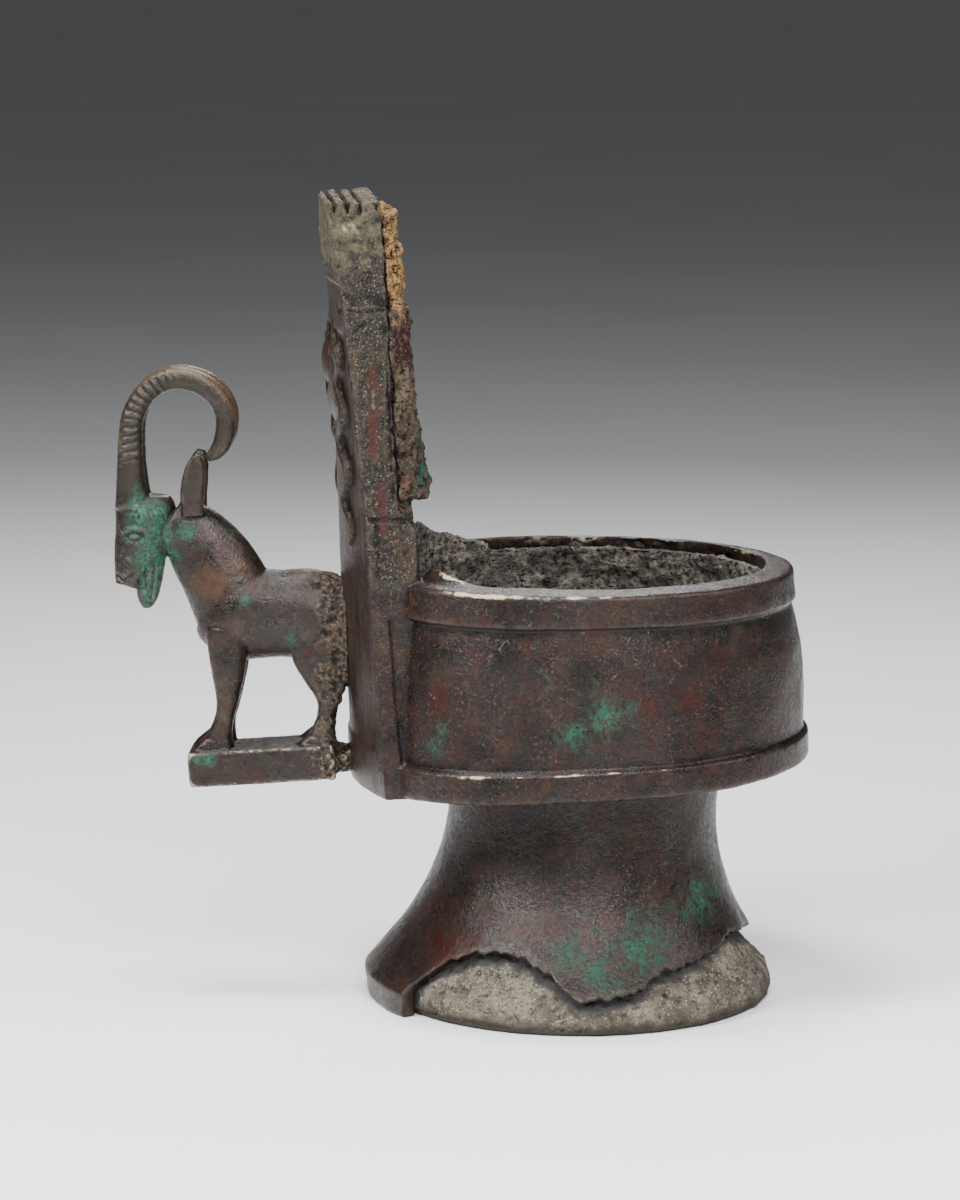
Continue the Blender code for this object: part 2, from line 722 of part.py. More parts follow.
def upper_core():
    """The core that lines the cup, fills the panel and bulges out behind it."""
    core = reshape(turned("cup_and_panel_core", cup_hollow(GAP), UPPER), cup_form)
    core = trim_above(core)
    combine(core, panel_fill("fill", GAP, PANEL_BACK_LOW - 0.5 * MM), "UNION")
    hollow = reshape(turned("hollow", lined_hollow(), UPPER), cup_form)
    combine(core, hollow, "DIFFERENCE")
    combine(core, panel_bulge(), "UNION")
    combine(core, buttress(), "UNION")
    return tidy(core)


def trim_above(core):
    """Ends the lining a little under the rim."""
    top = CUP_HEIGHT - LINING_DROP
    reach = 120 * MM
    lid = block("lid", [-reach, reach], [-reach, reach], [top, top + 60 * MM], UPPER)

    def move(place):
        return Vector((place.x, place.y, place.z + level(place.x, CUP_HEIGHT)))

    return combine(core, reshape(lid, move), "DIFFERENCE")


def foot_core():
    """The core that fills the foot and stands on the ground."""
    top = FOOT_HEIGHT - FOOT_CEILING - GAP
    profile = foot_profile(FOOT_SKIN + GAP, 0, top, CORE_EDGE)
    return reshape(turned("foot_core", profile), foot_form)


def limb(bm, stations, side_shift=0.0, sides=14):
    """A closed tube through (u, w, half thickness, half width, sideways) stations, in mm."""
    frames = []
    for i, (u, w, thick, wide, off) in enumerate(stations):
        before, after = stations[max(0, i - 1)], stations[min(len(stations) - 1, i + 1)]
        turn = math.atan2(after[0] - before[0], after[1] - before[1])
        place = Matrix.Translation(Vector((u, off + side_shift, w)) * MM)
        size = Matrix.Diagonal((thick * MM, wide * MM, MM, 1))
        frames.append(place @ Matrix.Rotation(turn, 4, "Y") @ size)
    ring = bmesh.ops.create_circle(bm, cap_ends=True, segments=sides, radius=1)["verts"]
    bmesh.ops.transform(bm, matrix=frames[0], verts=ring)
    face = [f for f in ring[0].link_faces if len(f.verts) == sides][0]
    start = face.edges[:]
    for last, new in zip(frames, frames[1:]):
        made = bmesh.ops.extrude_face_region(bm, geom=[face])["geom"]
        bmesh.ops.delete(bm, geom=[face], context="FACES_ONLY")
        face = [g for g in made if isinstance(g, bmesh.types.BMFace) and len(g.verts) == sides][0]
        bmesh.ops.transform(bm, matrix=new @ last.inverted(), verts=face.verts[:])
    bmesh.ops.holes_fill(bm, edges=[e for e in start if e.is_valid and e.is_boundary], sides=0)


# The animal's limbs as stations: u and w, half the thickness, half the width and how far the
# station is off to the side, in mm.  A limb of a pair is mirrored for the other side.
HORN = (
    (-153.2, 98, 6.2, 3.6, 3.4),
    (-153.2, 104, 5.4, 3.6, 3.7),
    (-153.0, 113, 4.6, 3.5, 4.0),
    (-152.0, 124, 4.2, 3.4, 4.3),
    (-149.9, 131.2, 4.0, 3.3, 4.6),
    (-145.6, 137.2, 3.8, 3.3, 4.8),
    (-140.3, 140.5, 3.7, 3.2, 5.0),
    (-135.0, 141.3, 3.7, 3.2, 5.1),
    (-127.6, 139.3, 3.8, 3.2, 5.1),
    (-122.2, 134.8, 3.8, 3.1, 5.0),
    (-119.7, 129.9, 3.7, 3.0, 4.9),
    (-119.3, 125.2, 3.6, 2.9, 4.8),
    (-120.4, 120.1, 3.3, 2.6, 4.7),
    (-122.9, 116.0, 2.8, 2.2, 4.6),
    (-126.6, 113.4, 1.5, 1.2, 4.5),
)
EAR = (
    (-132.6, 94, 3.8, 2.2, 5.2),
    (-132.6, 100, 4.1, 1.9, 6.6),
    (-131.8, 106, 4.0, 1.7, 7.6),
    (-130.6, 111.5, 3.2, 1.5, 8.2),
    (-129.6, 115.4, 1.5, 1.0, 8.6),
)
FRONT_LEG = (
    (-123.5, 55, 8.0, 4.6, 5.4),
    (-124.2, 46, 6.6, 4.3, 6.6),
    (-124.6, 40, 5.8, 4.0, 6.9),
    (-125.2, 33, 4.5, 3.6, 7.0),
    (-126.2, 27, 3.5, 3.2, 7.0),
    (-127.7, 22, 3.4, 3.1, 7.0),
    (-129.2, 17, 4.6, 3.5, 7.0),
    (-129.6, 12, 5.4, 3.6, 7.0),
)
FRONT_HOOF = (
    (-126.5, 17.5, 2.4, 3.2, 7.0),
    (-130.5, 16.0, 3.9, 3.6, 7.0),
    (-135.0, 14.4, 2.7, 3.4, 7.0),
    (-138.6, 12.9, 1.6, 2.6, 7.0),
)
HIND_LEG = (
    (-91.5, 52, 13.0, 4.8, 5.2),
    (-91.6, 43, 11.0, 4.8, 5.8),
    (-91.2, 36, 8.0, 4.4, 6.8),
    (-91.0, 31, 5.4, 3.9, 7.0),
    (-91.4, 26.5, 3.6, 3.3, 7.0),
    (-92.6, 21.5, 3.4, 3.1, 7.0),
    (-94.0, 17, 4.0, 3.4, 7.0),
    (-94.4, 12, 4.6, 3.5, 7.0),
)
HIND_HOOF = (
    (-92.0, 16.5, 2.4, 3.1, 7.0),
    (-96.0, 15.4, 2.9, 3.4, 7.0),
    (-99.5, 14.0, 2.0, 3.1, 7.0),
    (-102.2, 12.8, 1.3, 2.3, 7.0),
)
BARREL = (
    (-132.0, 62, 8.5, 5.5, 0),
    (-128.0, 60.5, 13.0, 8.6, 0),
    (-122.0, 59.3, 16.5, 10.4, 0),
    (-114.0, 58.6, 15.8, 10.8, 0),
    (-106.0, 58.2, 15.0, 10.4, 0),
    (-98.0, 57.4, 15.9, 10.4, 0),
    (-92.0, 55.5, 16.8, 10.4, 0),
    (-86.0, 53.5, 17.2, 10.0, 0),
)
NECK = (
    (-118.6, 56, 15.4, 9.6, 0),
    (-124.8, 72, 14.2, 8.8, 0),
    (-129.8, 81, 13.2, 7.8, 0),
    (-134.9, 87.5, 11.4, 6.8, 0),
    (-141.5, 92, 8.5, 6.0, 0),
)
HEAD = (
    (-149.2, 101.8, 8.2, 5.0, 0),
    (-149.4, 99.0, 10.0, 6.5, 0),
    (-149.8, 93.0, 10.2, 7.2, 0),
    (-151.4, 86.0, 9.3, 6.3, 0),
    (-154.2, 79.0, 7.0, 5.0, 0),
    (-156.4, 74.0, 5.2, 4.4, 0),
    (-157.8, 71.2, 3.8, 3.9, 0),
)
MUZZLE = (
    (-155.8, 92.0, 4.0, 4.2, 0),
    (-157.2, 84.0, 3.9, 4.0, 0),
    (-158.2, 76.0, 3.5, 3.9, 0),
    (-158.8, 71.4, 3.0, 3.7, 0),
)
BEARD = (
    (-149.2, 84.0, 6.4, 3.8, 0),
    (-149.6, 76.5, 5.2, 3.2, 0),
    (-150.6, 69.5, 4.2, 2.7, 0),
    (-151.4, 65.0, 3.0, 2.1, 0),
    (-151.8, 62.6, 1.2, 1.1, 0),
)
CAST_ON = (
    (-92.0, 51.5, 15.5, 9.4, 0),
    (-88.0, 50.8, 18.5, 10.8, 0),
    (-83.0, 50.6, 20.0, 12.0, 0),
    (-78.0, 50.6, 20.0, 12.0, 0),
)
PLINTH_JOINT = (
    (-98.0, 7.4, 5.4, 9.6, 0),
    (-91.0, 7.0, 5.8, 9.8, 0),
    (-86.0, 6.6, 4.4, 8.0, 0),
    (-82.5, 6.4, 3.4, 6.8, 0),
    (-78.0, 6.4, 3.8, 7.4, 0),
)


def bead(bm, place, size):
    """A small ellipsoid."""
    made = bmesh.ops.create_uvsphere(bm, u_segments=12, v_segments=8, radius=1)["verts"]
    matrix = Matrix.Translation(Vector(place) * MM) @ Matrix.Diagonal((*(Vector(size) * MM), 1))
    bmesh.ops.transform(bm, matrix=matrix, verts=made)


def ibex_flesh():
    """The animal's limbs and trunk, run together into one smooth skin."""
    bm = bmesh.new()
    for stations in (BARREL, NECK, HEAD, MUZZLE, BEARD, CAST_ON, PLINTH_JOINT):
        limb(bm, stations)
    for side in (-1, 1):
        for stations in (HORN, EAR, FRONT_LEG, FRONT_HOOF, HIND_LEG, HIND_HOOF):
            mirrored = [(u, w, thick, wide, off * side) for u, w, thick, wide, off in stations]
            limb(bm, mirrored)
        bead(bm, (-153.6, 6.2 * side, 88.2), (2.6, 1.3, 1.7))
        bead(bm, (-153.2, 6.3 * side, 91.6), (4.6, 1.4, 1.1))
    bmesh.ops.recalc_face_normals(bm, faces=bm.faces[:])
    flesh = make_object("ibex_handle", bm, IBEX)
    remesh = flesh.modifiers.new("skin", "REMESH")
    remesh.mode = "VOXEL"
    remesh.voxel_size = IBEX_VOXEL
    soften = flesh.modifiers.new("soften", "SMOOTH")
    soften.factor = 0.5
    soften.iterations = 3
    bpy.context.view_layer.update()
    return bake(flesh)


def thin_out(obj, triangles):
    """Reduces a dense skin to about that many triangles."""
    decimate = obj.modifiers.new("thin", "DECIMATE")
    decimate.use_collapse_triangulate = True
    decimate.ratio = min(1.0, triangles / (2 * len(obj.data.polygons)))
    bpy.context.view_layer.update()
    return bake(obj)


def plinth():
    """The small slab under the ibex's hooves, open to the panel at its back end."""
    obj = block(
        "plinth",
        [PLINTH_FRONT, PLINTH_END],
        [-PLINTH_HALF_WIDTH, PLINTH_HALF_WIDTH],
        [PLINTH_BOTTOM, PLINTH_TOP],
        IBEX,
    )
    bevel = obj.modifiers.new("worn edges", "BEVEL")
    bevel.width = PLINTH_EDGE
    bevel.segments = 2
    bpy.context.view_layer.update()
    return bake(obj)


def ibex_handle():
    """Ibex and plinth, cast as one and cast on to the panel's face."""
    ibex = thin_out(ibex_flesh(), IBEX_TRIANGLES)
    tidy(ibex)
    combine(ibex, plinth(), "UNION")
    combine(ibex, panel_block("panel_face", GAP, 1 * MM), "DIFFERENCE")
    return tidy(ibex)


def main():
    clear_scene()
    bronze = make_material("aged_bronze", (0.10, 0.065, 0.05), 0.45, 0.7)
    green_bronze = make_material("aged_bronze_ibex", (0.11, 0.075, 0.055), 0.42, 0.7)
    clay = make_material("grey_core_clay", (0.36, 0.34, 0.29), 0.95, 0.0)
    dark_clay = make_material("dark_core_clay", (0.07, 0.068, 0.065), 0.95, 0.0)
    pieces = (
        (bronze_body(), bronze),
        (ibex_handle(), green_bronze),
        (foot_core(), clay),
        (upper_core(), dark_clay),
    )
    burner = make_collection("incense_burner")
    for obj, material in pieces:
        obj.data.materials.clear()
        obj.data.materials.append(material)
        obj.data.shade_smooth()
        obj.data.set_sharp_from_angle(angle=math.radians(35))
        bpy.context.scene.collection.objects.unlink(obj)
        burner.objects.link(obj)


main()
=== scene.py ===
"""Looks of an ancient bronze incense burner with an ibex handle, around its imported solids.

World: metres, +Z up, the origin at the middle of the foot's underside, the ibex towards -X.
The cup, the panel and the ibex are modelled in an upper frame, whose origin is on the cup's axis
at its underside: u runs backwards along the object, y across it and w up.
Each piece is put together from closed shells, run into one skin, and then worked over: the skin
is pushed in and out for casting marks, carving and corrosion, and gets masks for its colours.
"""

import math

import bmesh
import bpy
import numpy as np
from mathutils import Matrix, Vector, noise


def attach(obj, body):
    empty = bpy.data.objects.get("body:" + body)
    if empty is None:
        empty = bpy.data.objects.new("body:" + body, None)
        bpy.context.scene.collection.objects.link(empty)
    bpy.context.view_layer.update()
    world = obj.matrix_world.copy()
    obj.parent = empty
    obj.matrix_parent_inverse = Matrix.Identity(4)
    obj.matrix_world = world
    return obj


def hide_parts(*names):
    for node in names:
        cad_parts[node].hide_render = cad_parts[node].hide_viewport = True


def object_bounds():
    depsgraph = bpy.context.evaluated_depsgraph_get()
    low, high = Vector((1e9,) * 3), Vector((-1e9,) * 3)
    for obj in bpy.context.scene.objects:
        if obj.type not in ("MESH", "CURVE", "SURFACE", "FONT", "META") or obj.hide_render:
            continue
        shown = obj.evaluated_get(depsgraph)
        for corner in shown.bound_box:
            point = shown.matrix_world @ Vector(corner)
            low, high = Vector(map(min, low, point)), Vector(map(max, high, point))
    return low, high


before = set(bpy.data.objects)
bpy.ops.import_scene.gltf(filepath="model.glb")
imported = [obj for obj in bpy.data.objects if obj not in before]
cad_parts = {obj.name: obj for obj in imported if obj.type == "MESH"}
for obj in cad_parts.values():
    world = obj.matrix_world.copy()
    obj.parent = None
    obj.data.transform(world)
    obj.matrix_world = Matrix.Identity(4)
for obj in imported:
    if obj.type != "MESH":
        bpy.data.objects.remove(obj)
cad_low, cad_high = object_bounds()

MM = 0.001
GAP = 0.3 * MM

# Foot.
FOOT_HEIGHT = 81.2 * MM
FOOT_BASE_RADIUS = 73.2 * MM
FOOT_RIM_HEIGHT = 8.7 * MM
NECK_RADIUS = 46.3 * MM
FLARE_TOP = 71 * MM
FLARE_POWER = 2.3
FOOT_SKIN = 5 * MM
FOOT_CEILING = 3 * MM
CORE_EDGE = 3 * MM
FOOT_LEAN = math.radians(4.2)
STRAIGHT_HEIGHT = 41 * MM

# Cup, as radii about its own axis and heights above its underside.
CUP_HEIGHT = 68 * MM
RIM_RADIUS = 71 * MM
RIM_WIDTH = 9.5 * MM
RIM_RISE = 1.3 * MM
RIM_SWEEP = 6 * MM
TOP_BAND_HEIGHT = 11 * MM
BOTTOM_BAND_RADIUS = 73.7 * MM
BOTTOM_BAND_HEIGHT = 10 * MM
BAND_RELIEF = 1.7 * MM
CUP_WALL = 4.5 * MM
CUP_FLOOR = 5 * MM
RIM_FLANGE = 7 * MM
LINING = 4.5 * MM
LINING_AT_MOUTH = 3 * MM
LINING_DROP = 2.5 * MM
LINING_FLOOR = 6 * MM
HOLLOW_REACH = 45 * MM
BACK_SWELL = 1.4 * MM
FRONT_STRETCH_BASE = 1.055
FRONT_STRETCH_RIM = 1.042
SQUARE_POWER_BASE = 3.2
SQUARE_POWER_RIM = 2.3

# How the upper part sits on the foot.
LEAN = math.radians(3.0)
BASE_LEVELLING = math.radians(0.8)
UPPER_SHIFT = 6 * MM

# Panel, in the upper frame.
PANEL_FRONT = -84.6 * MM
PANEL_TAPER = 2.0 * MM
PANEL_BACK = -65 * MM
PANEL_BACK_LOW = -59.5 * MM
PANEL_HEIGHT = 198.7 * MM
PANEL_DROP = 0.4 * MM
PANEL_HALF_BASE = 50 * MM
PANEL_HALF_RIM = 41.5 * MM
PANEL_HALF_TOP = 38 * MM
LEDGE_HEIGHT = 163.7 * MM
LEDGE_DEPTH = 1.5 * MM
COURSE_HEIGHT = 26 * MM
COURSE_DEPTH = 1.3 * MM
SHOULDER_HEIGHT = 97 * MM
SHOULDER_SLOPE = 2 * MM
FIELD_DEPTH = 0.7 * MM
FIELD_BORDER = 0.16
FIELD_BOTTOM = 17 * MM
FIELD_TOP = 156 * MM
STEP = 0.7 * MM
PANEL_WALL = 5 * MM
PANEL_CAP = 12 * MM
POCKET_DROP = 30 * MM
POCKET_REACH = -30 * MM
BOW_BASE = 9.5 * MM
BOW_SHOULDER = 8 * MM
BOW_LEDGE = 3 * MM
BOW_TOP = 1.6 * MM
GROOVE_WIDTH = 1.3 * MM
GROOVE_DEPTH = 4.3 * MM
TOOTH_PITCH = 4.2 * MM
ROWS_OF_TEETH = 4
FRONT_TEETH = 13

# Relief on the panel's face.
DISC_RADIUS = 9 * MM
DISC_HEIGHT = 143.3 * MM
DISC_RISE = 3.9 * MM
MOON_RADIUS = 20 * MM
MOON_RISE = 3.4 * MM
MOON_BITE = 16 * MM
MOON_BITE_LIFT = 5.5 * MM
SNAKE_RADIUS = 2.6 * MM
SNAKE_OFFSET = 24 * MM
SNAKE_SWING = 3.6 * MM
SNAKE_WAVES = 3.5
SNAKE_STEPS = 90
SNAKE_BOTTOM = 84 * MM
SNAKE_TOP = 152 * MM

# Core that bulges out behind the panel, and what is left of it above the far rim.
CLAY_INSET = 1.2 * MM
BULGE_TOP = 5.3 * MM
BULGE_BOTTOM = 12.0 * MM
BULGE_MIDDLE = 0.75 * BULGE_BOTTOM
BULGE_DROP = 5 * MM
BULGE_UNDERCUT = 4 * MM
BULGE_ROUNDING = 0.35
BULGE_TUCK = 0.10
BUTTRESS_LENGTH = 30 * MM
BUTTRESS_WIDTH = 9 * MM
BUTTRESS_DEPTH = 14 * MM
BUTTRESS_CREST = ((0, 15 * MM), (0.2, 13.5 * MM), (0.3, 10 * MM), (0.6, 6 * MM), (1, 2 * MM))

# What is cut off the cup's lining to end it below the rim.
LID_REACH = 120 * MM
LID_HEIGHT = 60 * MM

# Plinth of the ibex, in the upper frame.
PLINTH_FRONT = -140.5 * MM
PLINTH_BOTTOM = 1.1 * MM
PLINTH_TOP = 13.5 * MM
PLINTH_HALF_WIDTH = 11.8 * MM
PLINTH_END = -90 * MM
PLINTH_EDGE = 1.4 * MM

# The ibex stands a little askew on the panel.
IBEX_TURN = math.radians(-6)
IBEX_DROOP = math.radians(0.6)
IBEX_PIVOT = Vector((-80, 0, 60)) * MM
IBEX_SHIFT = Vector((0.5, 0, -0.5)) * MM

UPPER = Matrix.Translation((UPPER_SHIFT, 0, FOOT_HEIGHT)) @ Matrix.Rotation(-LEAN, 4, "Y")
ASKEW = Matrix.Rotation(IBEX_TURN, 4, "Z") @ Matrix.Rotation(-IBEX_DROOP, 4, "Y")
IBEX_JOINT = UPPER @ Matrix.Translation(IBEX_PIVOT + IBEX_SHIFT)
IBEX = IBEX_JOINT @ ASKEW @ Matrix.Translation(-IBEX_PIVOT)
WORLD = Matrix.Identity(4)

# The skin's broken edge round the foot: degrees from +X, and the height in mm where it ends.
BREAK_EDGE = (
    (-150, -4), (-148.5, 9), (-145, 15), (-140, 20), (-131, 24), (-122, 25.5), (-113, 24),
    (-104, 19.5), (-99, 15), (-95, 12), (-88, 13), (-79, 14.5), (-69, 19.5), (-59, 20.5),
    (-45, 23), (-31, 26), (-12, 24), (8, 21), (24, 15), (38, 9), (46, -4),
)

# The chips along that edge: noise by the degree, where it is read, its depth in mm, and its steps.
CHIP_SCALE = 0.35
CHIP_START = 3.1
CHIP_DEPTH = 1.2
CHIP_STEPS = 260

# Fineness of the skins, how many times each is softened, and the most triangles that a piece keeps.
TURN_STEPS = 180
LIMB_SIDES = 32
FLAT = math.radians(0.05)
LONGEST_CUT = 3 * MM
BRONZE_VOXEL = 0.6 * MM
IBEX_VOXEL = 0.47 * MM
CLAY_VOXEL = 0.75 * MM
BRONZE_SOFTENING = 2
IBEX_SOFTENING = 10
UPPER_CLAY_SOFTENING = 2
FOOT_CLAY_SOFTENING = 1
MOST_TRIANGLES = 190000

# The noise that roughens the skins: its layers of detail, and how far apart its seeds lie.
OCTAVES = 3
SEED_STRIDE = 7.31


def mix(points, at):
    """Reads values at places from (place, value) points, straight between them."""
    stops, values = zip(*points)
    return np.interp(at, stops, values)


def smooth(edge_a, edge_b, at):
    """Goes from 0 at edge_a to 1 at edge_b without a corner."""
    share = np.clip((at - edge_a) / (edge_b - edge_a), 0, 1)
    return share * share * (3 - 2 * share)


def between(rise, fall, at):
    """Goes from 0 to 1 over the pair of places in rise, and back to 0 over the pair in fall."""
    return smooth(*rise, at) * (1 - smooth(*fall, at))


def even(low, high, count):
    """Cuts at even distances from low to high."""
    return [low + (high - low) * i / count for i in range(count + 1)]


def divided(outline, longest=LONGEST_CUT):
    """An outline with its long stretches cut into short ones."""
    points = [outline[0]]
    for start, end in zip(outline, outline[1:]):
        count = max(1, math.ceil(math.dist(start, end) / longest))
        for i in range(1, count + 1):
            points.append(tuple(a + (b - a) * i / count for a, b in zip(start, end)))
    return points


def make_object(name, bm, place=WORLD):
    """Turns a bmesh into an object in the world's frame, and frees the bmesh."""
    bmesh.ops.transform(bm, matrix=place, verts=bm.verts[:])
    mesh = bpy.data.meshes.new(name)
    bm.to_mesh(mesh)
    bm.free()
    obj = bpy.data.objects.new(name, mesh)
    bpy.context.scene.collection.objects.link(obj)
    return obj


def bake(obj):
    """Gives the object the mesh that its modifiers make."""
    bpy.context.view_layer.update()
    graph = bpy.context.evaluated_depsgraph_get()
    mesh = bpy.data.meshes.new_from_object(obj.evaluated_get(graph))
    obj.modifiers.clear()
    obj.data = mesh
    return obj


def turned(outline, reshape):
    """A shell turned about Z from an outline that starts and ends on the axis, then reshaped."""
    bm = bmesh.new()
    points = [bm.verts.new((radius, 0, height)) for radius, height in divided(outline)]
    edges = [bm.edges.new(pair) for pair in zip(points, points[1:])]
    bmesh.ops.spin(bm, geom=points + edges, axis=(0, 0, 1), cent=(0, 0, 0), steps=TURN_STEPS,
                   angle=math.tau, use_merge=True)
    bmesh.ops.remove_doubles(bm, verts=bm.verts[:], dist=0.01 * MM)
    bmesh.ops.recalc_face_normals(bm, faces=bm.faces[:])
    for vertex in bm.verts:
        vertex.co = reshape(vertex.co)
    return bm


def block(x_cuts, y_cuts, z_cuts, reshape=None):
    """A box from the first to the last cut on each axis, divided at the cuts, then reshaped."""
    bm = bmesh.new()
    bmesh.ops.create_cube(bm, size=1.0)
    low = Vector((x_cuts[0], y_cuts[0], z_cuts[0]))
    high = Vector((x_cuts[-1], y_cuts[-1], z_cuts[-1]))
    bmesh.ops.scale(bm, vec=high - low, verts=bm.verts[:])
    bmesh.ops.translate(bm, vec=(low + high) / 2, verts=bm.verts[:])
    for axis, cuts in enumerate((x_cuts, y_cuts, z_cuts)):
        normal = Vector([float(axis == i) for i in range(3)])
        for place in cuts[1:-1]:
            everything = bm.verts[:] + bm.edges[:] + bm.faces[:]
            bmesh.ops.bisect_plane(bm, geom=everything, plane_co=normal * place, plane_no=normal)
    if reshape:
        for vertex in bm.verts:
            vertex.co = reshape(vertex.co)
        bmesh.ops.recalc_face_normals(bm, faces=bm.faces[:])
    return bm


def triangulate(obj):
    """Melts flat neighbours together, then splits every face into triangles, which are flat."""
    bm = bmesh.new()
    bm.from_mesh(obj.data)
    bmesh.ops.dissolve_limit(bm, angle_limit=FLAT, verts=bm.verts[:], edges=bm.edges[:])
    bmesh.ops.triangulate(bm, faces=bm.faces[:])
    bm.to_mesh(obj.data)
    bm.free()


def cut(target, cutter):
    """Cuts one solid away from another, and removes it."""
    triangulate(target)
    triangulate(cutter)
    modifier = target.modifiers.new("cut", "BOOLEAN")
    modifier.operation = "DIFFERENCE"
    modifier.solver = "EXACT"
    modifier.object = cutter
    bake(target)
    bpy.data.objects.remove(cutter, do_unlink=True)
    return target


def run_together(name, shells, voxel, smoothing):
    """Runs closed shells that overlap into one even skin."""
    bm = bmesh.new()
    for shell in shells:
        bm.from_mesh(shell.data)
        bpy.data.objects.remove(shell, do_unlink=True)
    obj = make_object(name, bm)
    remesh = obj.modifiers.new("skin", "REMESH")
    remesh.mode = "VOXEL"
    remesh.voxel_size = voxel
    soften = obj.modifiers.new("soften", "SMOOTH")
    soften.factor = 0.5
    soften.iterations = smoothing
    return bake(obj)


def thin_out(obj):
    """Drops triangles where the skin is flat, until few enough are left."""
    triangles = 2 * len(obj.data.polygons)
    if triangles > MOST_TRIANGLES:
        decimate = obj.modifiers.new("thin", "DECIMATE")
        decimate.use_collapse_triangulate = True
        decimate.ratio = MOST_TRIANGLES / triangles
        bake(obj)


def places(mesh, seen_from=WORLD):
    """The mesh's vertices as rows of mm in a frame."""
    points = np.empty(len(mesh.vertices) * 3, np.float32)
    mesh.vertices.foreach_get("co", points)
    turn = np.array(seen_from.inverted())
    return (points.reshape(-1, 3) @ turn[:3, :3].T + turn[:3, 3]) / MM


def outwards(mesh, seen_from=WORLD):
    """The mesh's vertex normals as rows in a frame."""
    normals = np.empty(len(mesh.vertices) * 3, np.float32)
    mesh.vertex_normals.foreach_get("vector", normals)
    turn = np.array(seen_from.inverted().to_3x3())
    return normals.reshape(-1, 3) @ turn.T


def move_to(mesh, points):
    """Puts the mesh's vertices at places in metres in the world."""
    mesh.vertices.foreach_set("co", points.astype(np.float32).ravel())
    mesh.update()


def push(mesh, amount):
    """Moves each vertex by its own amount in mm along its normal."""
    points = places(mesh)
    points += outwards(mesh) * amount[:, None]
    move_to(mesh, points * MM)


def keep_inside(mesh):
    """Holds the skin inside the solids' box, and on the ground."""
    move_to(mesh, np.clip(places(mesh) * MM, cad_low, cad_high))


def lumps(points, size, seed, where=None):
    """Smooth random values of about -1 to 1 in lumps of a size in mm, only where the mask says."""
    values = np.zeros(len(points))
    wanted = np.arange(len(points)) if where is None else np.flatnonzero(where > 0.001)
    shifted = points[wanted] / np.asarray(size) + seed * SEED_STRIDE
    values[wanted] = [noise.fractal(place, 1.0, 2.0, OCTAVES) for place in shifted.tolist()]
    return values if where is None else values * where


def lumpy(points, layers, where=None):
    """Lumps laid over each other, each layer with its depth and size in mm and its seed."""
    return sum(depth * lumps(points, size, seed, where) for depth, size, seed in layers)


def spots(points, marks):
    """A mask of soft round marks, each x, y, z, reach (mm) and strength."""
    mask = np.zeros(len(points))
    for x, y, z, reach, strength in marks:
        apart = np.linalg.norm(points - (x, y, z), axis=1) / reach
        mask = np.maximum(mask, strength * np.exp(-apart * apart))
    return mask


def off_line(points, line):
    """Each point's distance to a line through some places, and how far along it is, in mm."""
    line = np.array(line, float)
    best = np.full(len(points), 1e9)
    travelled = np.zeros(len(points))
    done = 0.0
    for start, end in zip(line, line[1:]):
        run = end - start
        length = np.linalg.norm(run)
        share = np.clip((points - start) @ run / length ** 2, 0, 1)
        apart = np.linalg.norm(points - start - share[:, None] * run, axis=1)
        nearer = apart < best
        best[nearer] = apart[nearer]
        travelled[nearer] = done + share[nearer] * length
        done += length
    return best, travelled


def crease(points, line, width):
    """A mask that is 1 on a line through some places and fades over a width in mm."""
    apart, _ = off_line(points, line)
    return np.exp(-((apart / width) ** 2))


def bending(mesh, rounds):
    """How sharply the skin bends at each vertex, in 1/mm: above 0 on ridges, below 0 in creases."""
    points, normals = places(mesh), outwards(mesh)
    ends = np.empty(len(mesh.edges) * 2, np.int32)
    mesh.edges.foreach_get("vertices", ends)
    a, b = ends.reshape(-1, 2).T
    run = points[b] - points[a]
    turn = ((normals[b] - normals[a]) * run).sum(1) / np.maximum((run * run).sum(1), 1e-6)
    count = len(points)
    met = np.maximum(np.bincount(a, minlength=count) + np.bincount(b, minlength=count), 1)
    values = (np.bincount(a, turn, count) + np.bincount(b, turn, count)) / met
    for _ in range(rounds):
        near = np.bincount(a, values[b], count) + np.bincount(b, values[a], count)
        values = 0.5 * values + 0.5 * near / met
    return values


def keep_masks(mesh, **masks):
    """Stores masks with the mesh, where its material reads them."""
    for name, values in masks.items():
        attribute = mesh.attributes.new(name, "FLOAT", "POINT")
        attribute.data.foreach_set("value", np.clip(values, 0, 1).astype(np.float32))


def foot_radius(height, inset):
    """The foot's radius at a height, measured to a surface that lies inset within its outer one."""
    if height >= FLARE_TOP:
        return NECK_RADIUS - inset
    rim_flare = (1 - FOOT_RIM_HEIGHT / FLARE_TOP) ** FLARE_POWER
    flare = (1 - max(height, FOOT_RIM_HEIGHT) / FLARE_TOP) ** FLARE_POWER
    return NECK_RADIUS + (FOOT_BASE_RADIUS - NECK_RADIUS) * flare / rim_flare - inset


def foot_outline(inset, bottom, top, edge):
    """Half the foot's outline from the top down, with its lower corner cut back by edge."""
    heights = [top] + even(FLARE_TOP, FOOT_RIM_HEIGHT, 20)
    base = foot_radius(FOOT_RIM_HEIGHT, inset)
    outline = [(foot_radius(h, inset), h) for h in heights]
    outline += [(base, bottom + edge), (base - edge * 0.4, bottom + edge * 0.25)]
    return outline + [(base - edge, bottom)]


def foot_form(place):
    """Leans the foot's neck, which isn't quite over its base."""
    grip = smooth(0, 0.5 * STRAIGHT_HEIGHT, place.z)
    push_back = math.tan(FOOT_LEAN) * (place.z - STRAIGHT_HEIGHT) * grip
    return place + Vector((push_back, 0, 0))


